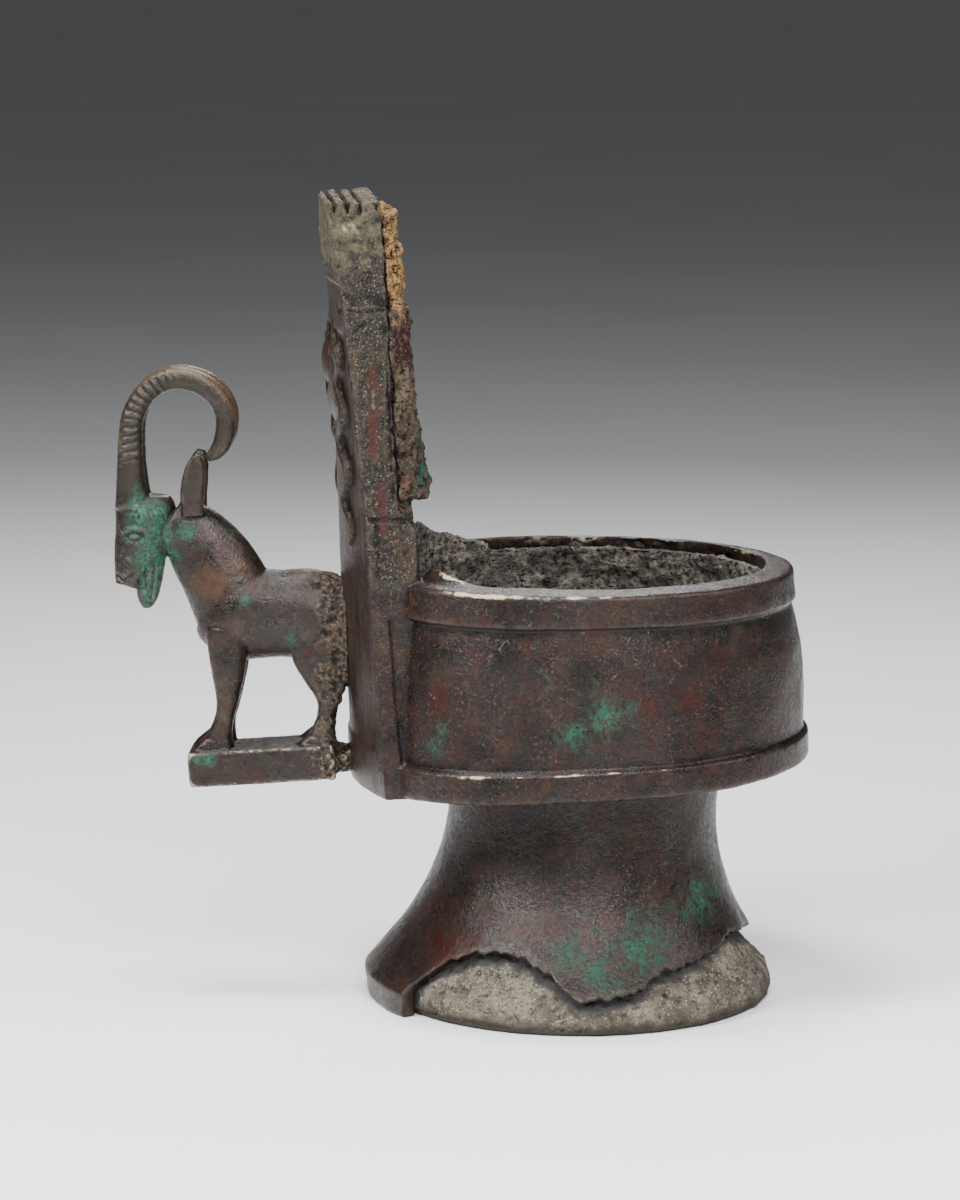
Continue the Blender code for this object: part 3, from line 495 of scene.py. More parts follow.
def plan_radius(angle, share):
    """The cup's plan at an angle, against a circle of radius 1; share goes from 0, base, to 1, rim."""
    if math.cos(angle) >= 0:
        return 1.0
    power = SQUARE_POWER_BASE + (SQUARE_POWER_RIM - SQUARE_POWER_BASE) * share
    stretch = FRONT_STRETCH_BASE + (FRONT_STRETCH_RIM - FRONT_STRETCH_BASE) * share
    along = abs(math.cos(angle) / stretch) ** power
    across = abs(math.sin(angle)) ** power
    return (along + across) ** (-1 / power)


def level(u, height):
    """How far a level ring of the cup drops in the leaning frame."""
    share = height / CUP_HEIGHT
    return -u * math.tan(BASE_LEVELLING + (LEAN - BASE_LEVELLING) * share)


def cup_form(place):
    """Gives a turned cup its squared front, its swollen back, its level rings and its swept rim."""
    radius = math.hypot(place.x, place.y)
    share = min(1.0, max(0.0, place.z / CUP_HEIGHT))
    if radius < 1e-6:
        return place
    angle = math.atan2(place.y, place.x)
    grown = radius * plan_radius(angle, share)
    outside = smooth(RIM_RADIUS - 6 * MM, RIM_RADIUS - 3 * MM, radius)
    swell = math.sin(math.pi * share) ** 2 * max(0.0, math.cos(angle)) ** 3
    grown += BACK_SWELL * swell * outside
    x, y = grown * math.cos(angle), grown * math.sin(angle)
    return Vector((x, y, place.z + level(x, place.z)))


def swept_cup_form(place):
    """The cup's form, with the rim's inner edge lifted where it runs up to the panel."""
    formed = cup_form(place)
    mouth = RIM_RADIUS - RIM_WIDTH
    near = smooth(-40 * MM, -56 * MM, formed.x) * smooth(CUP_HEIGHT - 6 * MM, CUP_HEIGHT, place.z)
    inner = 1 - smooth(mouth * 1.02, RIM_RADIUS, math.hypot(formed.x, formed.y))
    return formed + Vector((0, 0, RIM_SWEEP * near * inner))


def cup_outside():
    """The cup's outer outline, with its two flat bands, from the rim's inner edge down."""
    wall_top = RIM_RADIUS - BAND_RELIEF
    wall_low = BOTTOM_BAND_RADIUS - BAND_RELIEF
    band = CUP_HEIGHT - TOP_BAND_HEIGHT
    return [
        (RIM_RADIUS - RIM_WIDTH, CUP_HEIGHT + RIM_RISE),
        (RIM_RADIUS - 0.8 * MM, CUP_HEIGHT),
        (RIM_RADIUS, CUP_HEIGHT - 1.0 * MM),
        (RIM_RADIUS + 0.2 * MM, band + 0.6 * MM),
        (RIM_RADIUS - 0.4 * MM, band),
        (wall_top, band - 0.4 * MM),
        (wall_top + 0.4 * (wall_low - wall_top), 0.73 * CUP_HEIGHT),
        (wall_top + 0.7 * (wall_low - wall_top), 0.62 * CUP_HEIGHT),
        (wall_low, 0.35 * CUP_HEIGHT),
        (wall_low, BOTTOM_BAND_HEIGHT + 0.4 * MM),
        (BOTTOM_BAND_RADIUS - 0.5 * MM, BOTTOM_BAND_HEIGHT),
        (BOTTOM_BAND_RADIUS, BOTTOM_BAND_HEIGHT - 0.7 * MM),
        (BOTTOM_BAND_RADIUS, 1.0 * MM),
        (BOTTOM_BAND_RADIUS - 1.0 * MM, 0),
        (0, 0),
    ]


def cup_inside(inset, top):
    """The hollow in the cup's bronze, from the axis at its top to the axis at its floor."""
    wall = RIM_RADIUS - CUP_WALL - BAND_RELIEF - inset
    mouth = RIM_RADIUS - RIM_WIDTH - inset
    return [
        (0, top),
        (mouth, top),
        (mouth, CUP_HEIGHT - RIM_FLANGE - inset),
        (wall, CUP_HEIGHT - RIM_FLANGE - 3 * MM - inset),
        (wall + 1.5 * MM, CUP_FLOOR + 6 * MM),
        (wall - 3 * MM, CUP_FLOOR + inset),
        (0, CUP_FLOOR + inset),
    ]


def lined_hollow():
    """The empty space inside the lining, which runs out through the mouth."""
    mouth = RIM_RADIUS - RIM_WIDTH - LINING_AT_MOUTH
    wall = RIM_RADIUS - CUP_WALL - BAND_RELIEF - LINING
    floor = CUP_FLOOR + LINING_FLOOR
    return [
        (0, CUP_HEIGHT + HOLLOW_REACH),
        (mouth, CUP_HEIGHT + HOLLOW_REACH),
        (mouth, CUP_HEIGHT - RIM_FLANGE),
        (wall, 0.5 * CUP_HEIGHT),
        (wall - 0.5 * MM, floor + 12 * MM),
        (wall - 4 * MM, floor + 3 * MM),
        (wall - 12 * MM, floor),
        (0, floor),
    ]


def panel_half_width(height):
    """Half the panel's width at a height above the cup's underside."""
    shape = ((0, PANEL_HALF_BASE), (CUP_HEIGHT, PANEL_HALF_RIM), (PANEL_HEIGHT, PANEL_HALF_TOP))
    return mix(shape, height) - (LEDGE_DEPTH if height > LEDGE_HEIGHT else 0)


def panel_front(height, across):
    """Where the panel's face is at a height and at a share of its half width, from -1 to 1."""
    bows = (
        (0, BOW_BASE),
        (SHOULDER_HEIGHT, BOW_SHOULDER),
        (LEDGE_HEIGHT, BOW_LEDGE),
        (PANEL_HEIGHT, BOW_TOP),
    )
    place = PANEL_FRONT + mix(bows, height) * across * across
    place += mix(((CUP_HEIGHT, 0), (LEDGE_HEIGHT, PANEL_TAPER)), height)
    if abs(across) < 1 - FIELD_BORDER and FIELD_BOTTOM < height < FIELD_TOP:
        place += FIELD_DEPTH
    if height > PANEL_HEIGHT - COURSE_HEIGHT:
        place -= COURSE_DEPTH
    return place


def panel_slab():
    """The panel as one solid slab."""
    border = 1 - FIELD_BORDER
    y_cuts = [-1, -0.92, -border] + even(0.02 - border, border - 0.02, 18) + [border, 0.92, 1]
    course = PANEL_HEIGHT - COURSE_HEIGHT
    z_cuts = even(0, PANEL_HEIGHT - GROOVE_DEPTH, 24)
    z_cuts += [FIELD_BOTTOM, FIELD_BOTTOM + STEP, SHOULDER_HEIGHT, SHOULDER_HEIGHT + SHOULDER_SLOPE]
    z_cuts += [FIELD_TOP - STEP, FIELD_TOP, LEDGE_HEIGHT, LEDGE_HEIGHT + STEP, course - STEP, course]

    def reshape(place):
        across, height = place.y, place.z
        back = PANEL_BACK_LOW if height <= SHOULDER_HEIGHT else PANEL_BACK
        x = panel_front(height, across) if place.x < 0.5 else back
        bottom = level(x, 0) - PANEL_DROP if height == 0 else height
        return Vector((x, across * panel_half_width(height), bottom))

    return make_object("panel", block([0, 1], y_cuts, sorted(z_cuts), reshape), UPPER)


def panel_fill(inset, back):
    """The core inside the panel, or the pocket that it fills."""
    low = CUP_HEIGHT - POCKET_DROP + inset
    high = PANEL_HEIGHT - PANEL_CAP - inset

    def reshape(place):
        half = panel_half_width(place.z) - PANEL_WALL - inset
        front = panel_front(place.z, place.y) + PANEL_WALL + inset
        return Vector((front if place.x < 0.5 else back, place.y * half, place.z))

    bm = block([0, 1], even(-1, 1, 6), even(low, high, 10), reshape)
    return make_object("panel_fill", bm, UPPER)


def foot_break():
    """What is missing of the foot's skin: a ring sector whose upper edge is the broken one."""
    bm = bmesh.new()
    inner, outer = 40 * MM, 90 * MM
    low, high = -6 * MM, 1 * MM
    first, last = BREAK_EDGE[0][0], BREAK_EDGE[-1][0]
    corners = [(inner, low), (outer, low), (outer, high), (inner, high)]
    bm.faces.new([bm.verts.new((radius, 0, height)) for radius, height in corners])
    turn = Matrix.Rotation(math.radians(first), 3, "Z")
    bmesh.ops.rotate(bm, cent=(0, 0, 0), matrix=turn, verts=bm.verts[:])
    bmesh.ops.spin(bm, geom=bm.faces[:], axis=(0, 0, 1), cent=(0, 0, 0), steps=CHIP_STEPS,
                   angle=math.radians(last - first))
    bmesh.ops.holes_fill(bm, edges=[edge for edge in bm.edges if edge.is_boundary], sides=0)
    bmesh.ops.recalc_face_normals(bm, faces=bm.faces[:])
    for vertex in bm.verts:
        if vertex.co.z > 0:
            angle = math.degrees(math.atan2(vertex.co.y, vertex.co.x))
            chip = noise.fractal(Vector((angle * CHIP_SCALE, 0, CHIP_START)), 1.0, 2.0, 4)
            vertex.co.z = (mix(BREAK_EDGE, angle) + chip * CHIP_DEPTH) * MM
    return make_object("foot_break", bm)


def lens(radius, rise, lift=0.0, sides=64):
    """A flattened ball on the panel's face, at the disc's height or lifted above it."""
    bm = bmesh.new()
    bmesh.ops.create_uvsphere(bm, u_segments=sides, v_segments=sides // 2, radius=radius)
    bmesh.ops.scale(bm, vec=(rise / radius, 1, 1), verts=bm.verts[:])
    centre = (panel_front(DISC_HEIGHT, 0), 0, DISC_HEIGHT + lift)
    bmesh.ops.translate(bm, vec=centre, verts=bm.verts[:])
    return make_object("lens", bm, UPPER)


def moon():
    """The moon's crescent in relief, points upwards, round the sun's disc."""
    crescent = lens(MOON_RADIUS, MOON_RISE)
    return cut(crescent, lens(MOON_BITE, MOON_BITE, MOON_BITE_LIFT))


def snake(side):
    """One of the two snakes in relief, winding up the panel's side, head upwards."""
    curve = bpy.data.curves.new("snake", "CURVE")
    curve.dimensions = "3D"
    curve.bevel_depth = SNAKE_RADIUS
    curve.bevel_resolution = 4
    curve.use_fill_caps = True
    spline = curve.splines.new("POLY")
    spline.points.add(SNAKE_STEPS)
    for i, point in enumerate(spline.points):
        share = i / SNAKE_STEPS
        height = SNAKE_BOTTOM + (SNAKE_TOP - SNAKE_BOTTOM) * share
        swing = SNAKE_SWING * math.sin(2 * math.pi * SNAKE_WAVES * share)
        y = side * (SNAKE_OFFSET + swing)
        x = panel_front(height, y / panel_half_width(height)) - 0.1 * MM
        point.co = (x, y, height, 1)
        head = 0.35 * smooth(0.9, 0.95, share) - 0.75 * smooth(0.96, 1.0, share)
        point.radius = 0.45 + 0.55 * smooth(0, 0.35, share) + head
    obj = bpy.data.objects.new("snake", curve)
    bpy.context.scene.collection.objects.link(obj)
    bpy.context.view_layer.update()
    graph = bpy.context.evaluated_depsgraph_get()
    bm = bmesh.new()
    bm.from_mesh(obj.evaluated_get(graph).to_mesh())
    bmesh.ops.remove_doubles(bm, verts=bm.verts[:], dist=0.005 * MM)
    bmesh.ops.recalc_face_normals(bm, faces=bm.faces[:])
    bpy.data.objects.remove(obj, do_unlink=True)
    return make_object("snake", bm, UPPER)


def teeth():
    """The crenellation along the top: a row of teeth over the face, with bars behind it."""
    low = PANEL_HEIGHT - GROOVE_DEPTH - 1 * MM
    half = PANEL_HALF_TOP - LEDGE_DEPTH
    wide = 2 * half / FRONT_TEETH
    groove = GROOVE_WIDTH / 2
    bars = []
    for i in range(FRONT_TEETH):
        left = -half + i * wide
        front = panel_front(PANEL_HEIGHT, (left + wide / 2) / half)
        ends = (left + groove * (i > 0), left + wide - groove * (i < FRONT_TEETH - 1))
        bars.append(((front, PANEL_FRONT + TOOTH_PITCH - groove), ends))
    for row in range(1, ROWS_OF_TEETH):
        near = PANEL_FRONT + row * TOOTH_PITCH + groove
        last = row == ROWS_OF_TEETH - 1
        bars.append(((near, PANEL_BACK if last else near + TOOTH_PITCH - GROOVE_WIDTH), (-half, half)))
    return [make_object("tooth", block(x, y, (low, PANEL_HEIGHT)), UPPER) for x, y in bars]


def bronze_shells():
    """Foot, cup and panel as closed shells that overlap where they join."""
    top = CUP_HEIGHT + RIM_RISE
    cup = turned(cup_inside(0, top)[:0:-1] + cup_outside(), swept_cup_form)
    cup = make_object("cup", cup, UPPER)
    ceiling = FOOT_HEIGHT + FOOT_CEILING
    under = FOOT_HEIGHT - FOOT_CEILING
    inner = foot_outline(FOOT_SKIN, 0, under, 0)[:-2]
    outline = [(0, ceiling)] + foot_outline(0, 0, ceiling, 1.0 * MM) + inner[::-1] + [(0, under)]
    foot = cut(make_object("foot", turned(outline, foot_form)), foot_break())
    slab = panel_slab()
    hollow = cup_inside(0, CUP_HEIGHT + RIM_RISE + RIM_SWEEP + 2 * MM)
    cut(slab, make_object("hollow", turned(hollow, cup_form), UPPER))
    cut(slab, panel_fill(0, POCKET_REACH))
    cut(cup, panel_fill(0, POCKET_REACH))
    sun = lens(DISC_RADIUS, DISC_RISE, sides=48)
    return [cup, foot, slab, moon(), sun, snake(-1), snake(1)] + teeth()


# The animal's limbs as stations: u and w, half the thickness, half the width and how far the
# station is off to the side, in mm. A limb of a pair is mirrored for the other side.
HORN = (
    (-153.2, 98, 6.2, 3.6, 3.4),
    (-153.2, 104, 5.4, 3.6, 3.7),
    (-153.0, 113, 4.6, 3.5, 4.0),
    (-152.0, 124, 4.2, 3.4, 4.3),
    (-149.9, 131.2, 4.0, 3.3, 4.6),
    (-145.6, 137.2, 3.8, 3.3, 4.8),
    (-140.3, 140.5, 3.7, 3.2, 5.0),
    (-135.0, 141.3, 3.7, 3.2, 5.1),
    (-127.6, 139.3, 3.8, 3.2, 5.1),
    (-122.2, 134.8, 3.8, 3.1, 5.0),
    (-119.7, 129.9, 3.7, 3.0, 4.9),
    (-119.3, 125.2, 3.6, 2.9, 4.8),
    (-120.4, 120.1, 3.3, 2.6, 4.7),
    (-122.9, 116.0, 2.8, 2.2, 4.6),
    (-126.6, 113.4, 1.5, 1.2, 4.5),
)
EAR = (
    (-132.6, 94, 3.8, 2.2, 5.2),
    (-132.6, 100, 4.1, 1.9, 6.6),
    (-131.8, 106, 4.0, 1.7, 7.6),
    (-130.6, 111.5, 3.2, 1.5, 8.2),
    (-129.6, 115.4, 1.5, 1.0, 8.6),
)
FRONT_LEG = (
    (-123.5, 55, 8.0, 4.6, 5.4),
    (-124.2, 46, 6.6, 4.3, 6.6),
    (-124.6, 40, 5.8, 4.0, 6.9),
    (-125.2, 33, 4.5, 3.6, 7.0),
    (-126.2, 27, 3.5, 3.2, 7.0),
    (-127.7, 22, 3.4, 3.1, 7.0),
    (-129.2, 17, 4.6, 3.5, 7.0),
    (-129.6, 12, 5.4, 3.6, 7.0),
)
FRONT_HOOF = (
    (-126.5, 17.5, 2.4, 3.2, 7.0),
    (-130.5, 16.0, 3.9, 3.6, 7.0),
    (-135.0, 14.4, 2.7, 3.4, 7.0),
    (-138.6, 12.9, 1.6, 2.6, 7.0),
)
HIND_LEG = (
    (-91.5, 52, 13.0, 4.8, 5.2),
    (-91.6, 43, 11.0, 4.8, 5.8),
    (-91.2, 36, 8.0, 4.4, 6.8),
    (-91.0, 31, 5.4, 3.9, 7.0),
    (-91.4, 26.5, 3.6, 3.3, 7.0),
    (-92.6, 21.5, 3.4, 3.1, 7.0),
    (-94.0, 17, 4.0, 3.4, 7.0),
    (-94.4, 12, 4.6, 3.5, 7.0),
)
HIND_HOOF = (
    (-92.0, 16.5, 2.4, 3.1, 7.0),
    (-96.0, 15.4, 2.9, 3.4, 7.0),
    (-99.5, 14.0, 2.0, 3.1, 7.0),
    (-102.2, 12.8, 1.3, 2.3, 7.0),
)
BARREL = (
    (-132.0, 62, 8.5, 5.5, 0),
    (-128.0, 60.5, 13.0, 8.6, 0),
    (-122.0, 59.3, 16.5, 10.4, 0),
    (-114.0, 58.6, 15.8, 10.8, 0),
    (-106.0, 58.2, 15.0, 10.4, 0),
    (-98.0, 57.4, 15.9, 10.4, 0),
    (-92.0, 55.5, 16.8, 10.4, 0),
    (-86.0, 53.5, 17.2, 10.0, 0),
)
NECK = (
    (-118.6, 56, 15.4, 9.6, 0),
    (-124.8, 72, 14.2, 8.8, 0),
    (-129.8, 81, 13.2, 7.8, 0),
    (-134.9, 87.5, 11.4, 6.8, 0),
    (-141.5, 92, 8.5, 6.0, 0),
)
HEAD = (
    (-149.2, 101.8, 8.2, 5.0, 0),
    (-149.4, 99.0, 10.0, 6.5, 0),
    (-149.8, 93.0, 10.2, 7.2, 0),
    (-151.4, 86.0, 9.3, 6.3, 0),
    (-154.2, 79.0, 7.0, 5.0, 0),
    (-156.4, 74.0, 5.2, 4.4, 0),
    (-157.8, 71.2, 3.8, 3.9, 0),
)
MUZZLE = (
    (-155.8, 92.0, 4.0, 4.2, 0),
    (-157.2, 84.0, 3.9, 4.0, 0),
    (-158.2, 76.0, 3.5, 3.9, 0),
    (-158.8, 71.4, 3.0, 3.7, 0),
)
BEARD = (
    (-149.2, 84.0, 6.4, 3.8, 0),
    (-149.6, 76.5, 5.2, 3.2, 0),
    (-150.6, 69.5, 4.2, 2.7, 0),
    (-151.4, 65.0, 3.0, 2.1, 0),
    (-151.8, 62.6, 1.2, 1.1, 0),
)
CAST_ON = (
    (-92.0, 51.5, 15.5, 9.4, 0),
    (-88.0, 50.8, 18.5, 10.8, 0),
    (-83.0, 50.6, 20.0, 12.0, 0),
    (-78.0, 50.6, 20.0, 12.0, 0),
)
PLINTH_JOINT = (
    (-98.0, 7.4, 5.4, 9.6, 0),
    (-91.0, 7.0, 5.8, 9.8, 0),
    (-86.0, 6.6, 4.4, 8.0, 0),
    (-82.5, 6.4, 3.4, 6.8, 0),
    (-78.0, 6.4, 3.8, 7.4, 0),
)

# Carving on the animal, as lines of u, y and w in mm on one side: depth, width, and the line.
# Below 0 the line is cut in, above 0 it is raised.
CARVED_LINES = (
    (0.75, 0.9, ((-157.0, 5.2, 90.6), (-153.5, 6.8, 91.4), (-149.6, 7.2, 90.2))),
    (-0.55, 1.7, ((-155.4, 6.0, 88.0), (-151.2, 6.8, 88.0))),
    (0.75, 0.8, ((-154.9, 6.0, 88.1), (-152.4, 6.6, 88.1))),
    (-0.45, 0.45, ((-156.6, 5.4, 88.6), (-153.6, 6.4, 89.7), (-150.2, 7.0, 88.5))),
    (-0.45, 0.45, ((-156.6, 5.4, 88.4), (-153.6, 6.2, 86.6), (-150.2, 7.0, 88.3))),
    (-0.9, 0.7, ((-160.6, 2.6, 74.6), (-159.8, 3.4, 74.0))),
    (-0.6, 0.5, ((-161.8, 1.5, 72.6), (-158.4, 4.0, 73.2), (-155.2, 4.6, 75.4))),
    (-0.4, 0.9, ((-146.0, 6.6, 88.0), (-148.6, 6.2, 82.0), (-151.6, 5.2, 77.0))),
    (-0.45, 0.5, ((-153.0, 3.4, 76.0), (-153.4, 2.6, 66.0))),
    (-0.45, 0.5, ((-150.4, 3.6, 78.0), (-151.6, 2.6, 65.0))),
    (-0.45, 0.5, ((-147.6, 3.2, 77.0), (-149.6, 2.2, 66.0))),
    (-0.4, 1.5, ((-132.8, 8.0, 101.0), (-132.0, 9.1, 106.0), (-130.8, 9.6, 111.5))),
    (0.2, 0.8, ((-135.8, 7.2, 99.0), (-135.0, 8.2, 106.0), (-132.6, 9.2, 113.0))),
    (-0.5, 0.5, ((-140.0, 7.0, 13.8), (-134.5, 7.0, 17.2), (-130.5, 7.0, 19.8))),
    (-0.5, 0.5, ((-103.0, 7.0, 13.6), (-99.0, 7.0, 16.4), (-96.5, 7.0, 18.2))),
    (-0.4, 0.6, ((-131.0, 10.8, 17.2), (-133.2, 8.8, 18.2), (-133.4, 5.2, 18.2))),
    (-0.4, 0.6, ((-95.8, 10.6, 16.6), (-97.6, 8.8, 17.4), (-97.8, 5.2, 17.4))),
)
# Forms under the skin: u, y, w, reach in mm, and how far they stand out.
MUSCLES = (
    (-121.0, 9.8, 66.0, 9.0, 0.9),
    (-124.5, 9.8, 56.0, 7.0, 0.5),
    (-112.0, 10.8, 60.0, 5.5, -0.5),
    (-94.0, 10.2, 58.0, 8.5, 0.6),
    (-101.5, 10.0, 50.0, 4.5, -0.35),
    (-126.6, 9.6, 26.5, 2.6, 0.45),
    (-90.6, 9.6, 28.5, 2.8, 0.45),
    (-148.0, 6.8, 93.5, 4.0, 0.45),
    (-143.5, 6.6, 84.0, 3.0, -0.4),
)

# Ribs on the horns, in mm along them, and the middle of the horns' curve as u and w.
RIB_PITCH = 2.7
RIB_DEPTH = 0.26
RIBS_FROM = (13, 19)
RIBS_TO = (48, 56)
HORN_ROOT = (96, 101)
HORN_THICKNESS = 6.4
HORN_CENTRE = (-136, 124)
HORN_CURVE = 16
HORN_HALF = 3

# Where the join's crust starts on the body and on the plinth, along and up, in the ibex's frame in mm.
BODY_CRUST = (-96, -89)
BODY_HEIGHT = (20, 30)
PLINTH_CRUST = (-99, -93)
PLINTH_HEIGHT = (20, 26)


def refined(stations, between=4):
    """Stations with others in between, on smooth curves through them."""
    rows = np.array(stations, float)
    ends = np.vstack([2 * rows[0] - rows[1], rows, 2 * rows[-1] - rows[-2]])
    made = [rows[0]]
    for before, start, end, after in zip(ends, ends[1:], ends[2:], ends[3:]):
        for i in range(1, between + 1):
            t = i / between
            curve = 2 * start + (end - before) * t
            curve += (2 * before - 5 * start + 4 * end - after) * t ** 2
            curve += (3 * start - before - 3 * end + after) * t ** 3
            made.append(curve / 2)
    return made


def limb(bm, stations, side=1):
    """A closed tube through the stations."""
    stations = refined(stations)
    frames = []
    for i, (u, w, thick, wide, off) in enumerate(stations):
        before, after = stations[max(0, i - 1)], stations[min(len(stations) - 1, i + 1)]
        turn = math.atan2(after[0] - before[0], after[1] - before[1])
        place = Matrix.Translation(Vector((u, off * side, w)) * MM)
        size = Matrix.Diagonal((max(thick, 0.3) * MM, max(wide, 0.3) * MM, MM, 1))
        frames.append(place @ Matrix.Rotation(turn, 4, "Y") @ size)
    ring = bmesh.ops.create_circle(bm, cap_ends=True, segments=LIMB_SIDES, radius=1)["verts"]
    bmesh.ops.transform(bm, matrix=frames[0], verts=ring)
    face = next(face for face in ring[0].link_faces if len(face.verts) == LIMB_SIDES)
    start = face.edges[:]
    for last, new in zip(frames, frames[1:]):
        made = bmesh.ops.extrude_face_region(bm, geom=[face])["geom"]
        bmesh.ops.delete(bm, geom=[face], context="FACES_ONLY")
        faces = [part for part in made if isinstance(part, bmesh.types.BMFace)]
        face = next(face for face in faces if len(face.verts) == LIMB_SIDES)
        bmesh.ops.transform(bm, matrix=new @ last.inverted(), verts=face.verts[:])
    rim = [edge for edge in start if edge.is_valid and edge.is_boundary]
    bmesh.ops.holes_fill(bm, edges=rim, sides=0)


def plinth(bm):
    """The small slab under the hooves, with worn edges."""
    width = (-PLINTH_HALF_WIDTH, PLINTH_HALF_WIDTH)
    slab = block((PLINTH_FRONT, PLINTH_END), width, (PLINTH_BOTTOM, PLINTH_TOP))
    bmesh.ops.bevel(slab, geom=slab.edges[:], offset=PLINTH_EDGE, segments=3, profile=0.5,
                    affect="EDGES", material=-1)
    mesh = bpy.data.meshes.new("plinth")
    slab.to_mesh(mesh)
    slab.free()
    bm.from_mesh(mesh)
    bpy.data.meshes.remove(mesh)


def ibex_shells():
    """The animal's limbs and trunk and its plinth, ending at the panel's face."""
    bm = bmesh.new()
    for stations in (BARREL, NECK, HEAD, MUZZLE, BEARD, CAST_ON, PLINTH_JOINT):
        limb(bm, stations)
    for side in (-1, 1):
        for stations in (HORN, EAR, FRONT_LEG, FRONT_HOOF, HIND_LEG, HIND_HOOF):
            limb(bm, stations, side)
    plinth(bm)
    bmesh.ops.recalc_face_normals(bm, faces=bm.faces[:])
    bmesh.ops.transform(bm, matrix=UPPER.inverted() @ IBEX, verts=bm.verts[:])
    everything = bm.verts[:] + bm.edges[:] + bm.faces[:]
    face = PANEL_FRONT + FIELD_DEPTH + 0.6 * MM
    bmesh.ops.bisect_plane(bm, geom=everything, plane_co=(face, 0, 0), plane_no=(1, 0, 0),
                           clear_outer=True)
    bmesh.ops.holes_fill(bm, edges=[edge for edge in bm.edges if edge.is_boundary], sides=0)
    bmesh.ops.recalc_face_normals(bm, faces=bm.faces[:])
    return [make_object("ibex", bm, UPPER)]


def crusted(points):
    """Where the join is rough: the ibex's hind end and the plinth's, in the ibex's frame."""
    ragged = points[:, 0] + 5 * lumps(points, 7, 4)
    body = smooth(*BODY_CRUST, ragged) * smooth(*BODY_HEIGHT, points[:, 2])
    base = smooth(*PLINTH_CRUST, ragged) * (1 - smooth(*PLINTH_HEIGHT, points[:, 2]))
    return np.maximum(body, base)


def from_horn_centre(points):
    """How far each point is from the middle of the horns' curve, seen from the side."""
    return np.hypot(points[:, 0] - HORN_CENTRE[0], points[:, 2] - HORN_CENTRE[1])


def horn_ribs(mesh, points, folded):
    """The ribs that run across the horns, strongest on their sides."""
    apart, along = off_line(folded, [(u, off, w) for u, w, _, _, off in refined(HORN)])
    across = (from_horn_centre(folded) - HORN_CURVE) / HORN_HALF
    ribbed_side = smooth(0.55, 0.9, np.abs(outwards(mesh, IBEX)[:, 1]))
    ribbed = (apart < HORN_THICKNESS) * smooth(*HORN_ROOT, folded[:, 2])
    ribbed *= between(RIBS_FROM, RIBS_TO, along) * (0.15 + 0.85 * ribbed_side)
    slant = along + 0.7 * across + 0.5 * lumps(points, 6, 8)
    return RIB_DEPTH * ribbed * (np.cos(slant * math.tau / RIB_PITCH) - 0.3)


def carve_ibex(mesh):
    """Features, horn ribs, hooves and muscles, then casting marks and the crust at the join."""
    points = places(mesh, IBEX)
    folded = points * (1, 0, 1) + np.abs(points) * (0, 1, 0)
    push(mesh, sum(rise * np.exp(-(np.linalg.norm(folded - (u, y, w), axis=1) / reach) ** 2)
                   for u, y, w, reach, rise in MUSCLES))
    amount = sum(depth * crease(folded, line, width) for depth, width, line in CARVED_LINES)
    push(mesh, amount + horn_ribs(mesh, points, folded))
    points = places(mesh, IBEX)
    crust = crusted(points)
    amount = lumpy(points, ((0.22, 16, 1), (0.10, 5, 2), (0.03, 1.6, 3)))
    amount += lumpy(points, ((0.75, 2.6, 5), (0.9, 7, 6)), crust)
    push(mesh, amount - 0.25 * crust)
    keep_inside(mesh)


def mouth_reach(x):
    """How far the mouth reaches sideways at a place along the cup."""
    mouth = RIM_RADIUS - RIM_WIDTH
    along = min(1.0, abs(x) / (mouth * FRONT_STRETCH_RIM)) ** SQUARE_POWER_RIM
    return mouth * (1 - along) ** (1 / SQUARE_POWER_RIM)


def panel_bulge():
    """The core behind the panel, swelling towards its lower end."""
    low = SHOULDER_HEIGHT + SHOULDER_SLOPE + GAP
    high = PANEL_HEIGHT - BULGE_DROP
    back = PANEL_BACK + GAP
    levels = even(low, high, 30)

    def reshape(place):
        share = (place.z - low) / (high - low)
        swell = mix(((0, BULGE_BOTTOM), (0.3, BULGE_MIDDLE), (1, BULGE_TOP)), share)
        swell *= 1 - BULGE_ROUNDING * abs(place.y) ** 4
        half = panel_half_width(place.z) - CLAY_INSET
        tuck = 1 - BULGE_TUCK * place.x * abs(place.y)
        undercut = BULGE_UNDERCUT * place.x * (place.z == levels[0])
        return Vector((back + swell * place.x, place.y * half * tuck, place.z + undercut))

    return make_object("bulge", block([0, 0.5, 1], even(-1, 1, 12), levels, reshape), UPPER)


def buttress():
    """Core left standing above the far rim, in its corner with the panel's back."""

    def reshape(place):
        x = PANEL_BACK_LOW + GAP + BUTTRESS_LENGTH * place.x
        rise = mix(BUTTRESS_CREST, place.x)
        z = CUP_HEIGHT - BUTTRESS_DEPTH + (BUTTRESS_DEPTH + rise) * place.z
        y = mouth_reach(x) - CLAY_INSET - BUTTRESS_WIDTH * (1 - place.y)
        return Vector((x, y, z))

    return make_object("buttress", block(even(0, 1, 10), [0, 1], even(0, 1, 4), reshape), UPPER)


def upper_core_shells():
    """The core that lines the cup, fills the panel and bulges out behind it."""
    top = CUP_HEIGHT - LINING_DROP
    above = CUP_HEIGHT + RIM_RISE + RIM_SWEEP + 2 * MM
    lining = make_object("lining", turned(cup_inside(GAP, above), cup_form), UPPER)
    reach = (-LID_REACH, LID_REACH)

    def tilted(place):
        return place + Vector((0, 0, level(place.x, CUP_HEIGHT)))

    cut(lining, make_object("lid", block(reach, reach, (top, top + LID_HEIGHT), tilted), UPPER))
    cut(lining, make_object("hollow", turned(lined_hollow(), cup_form), UPPER))
    fill = panel_fill(GAP, PANEL_BACK_LOW - 0.5 * MM)
    cut(fill, make_object("hollow", turned(lined_hollow(), cup_form), UPPER))
    return [lining, fill, panel_bulge(), buttress()]


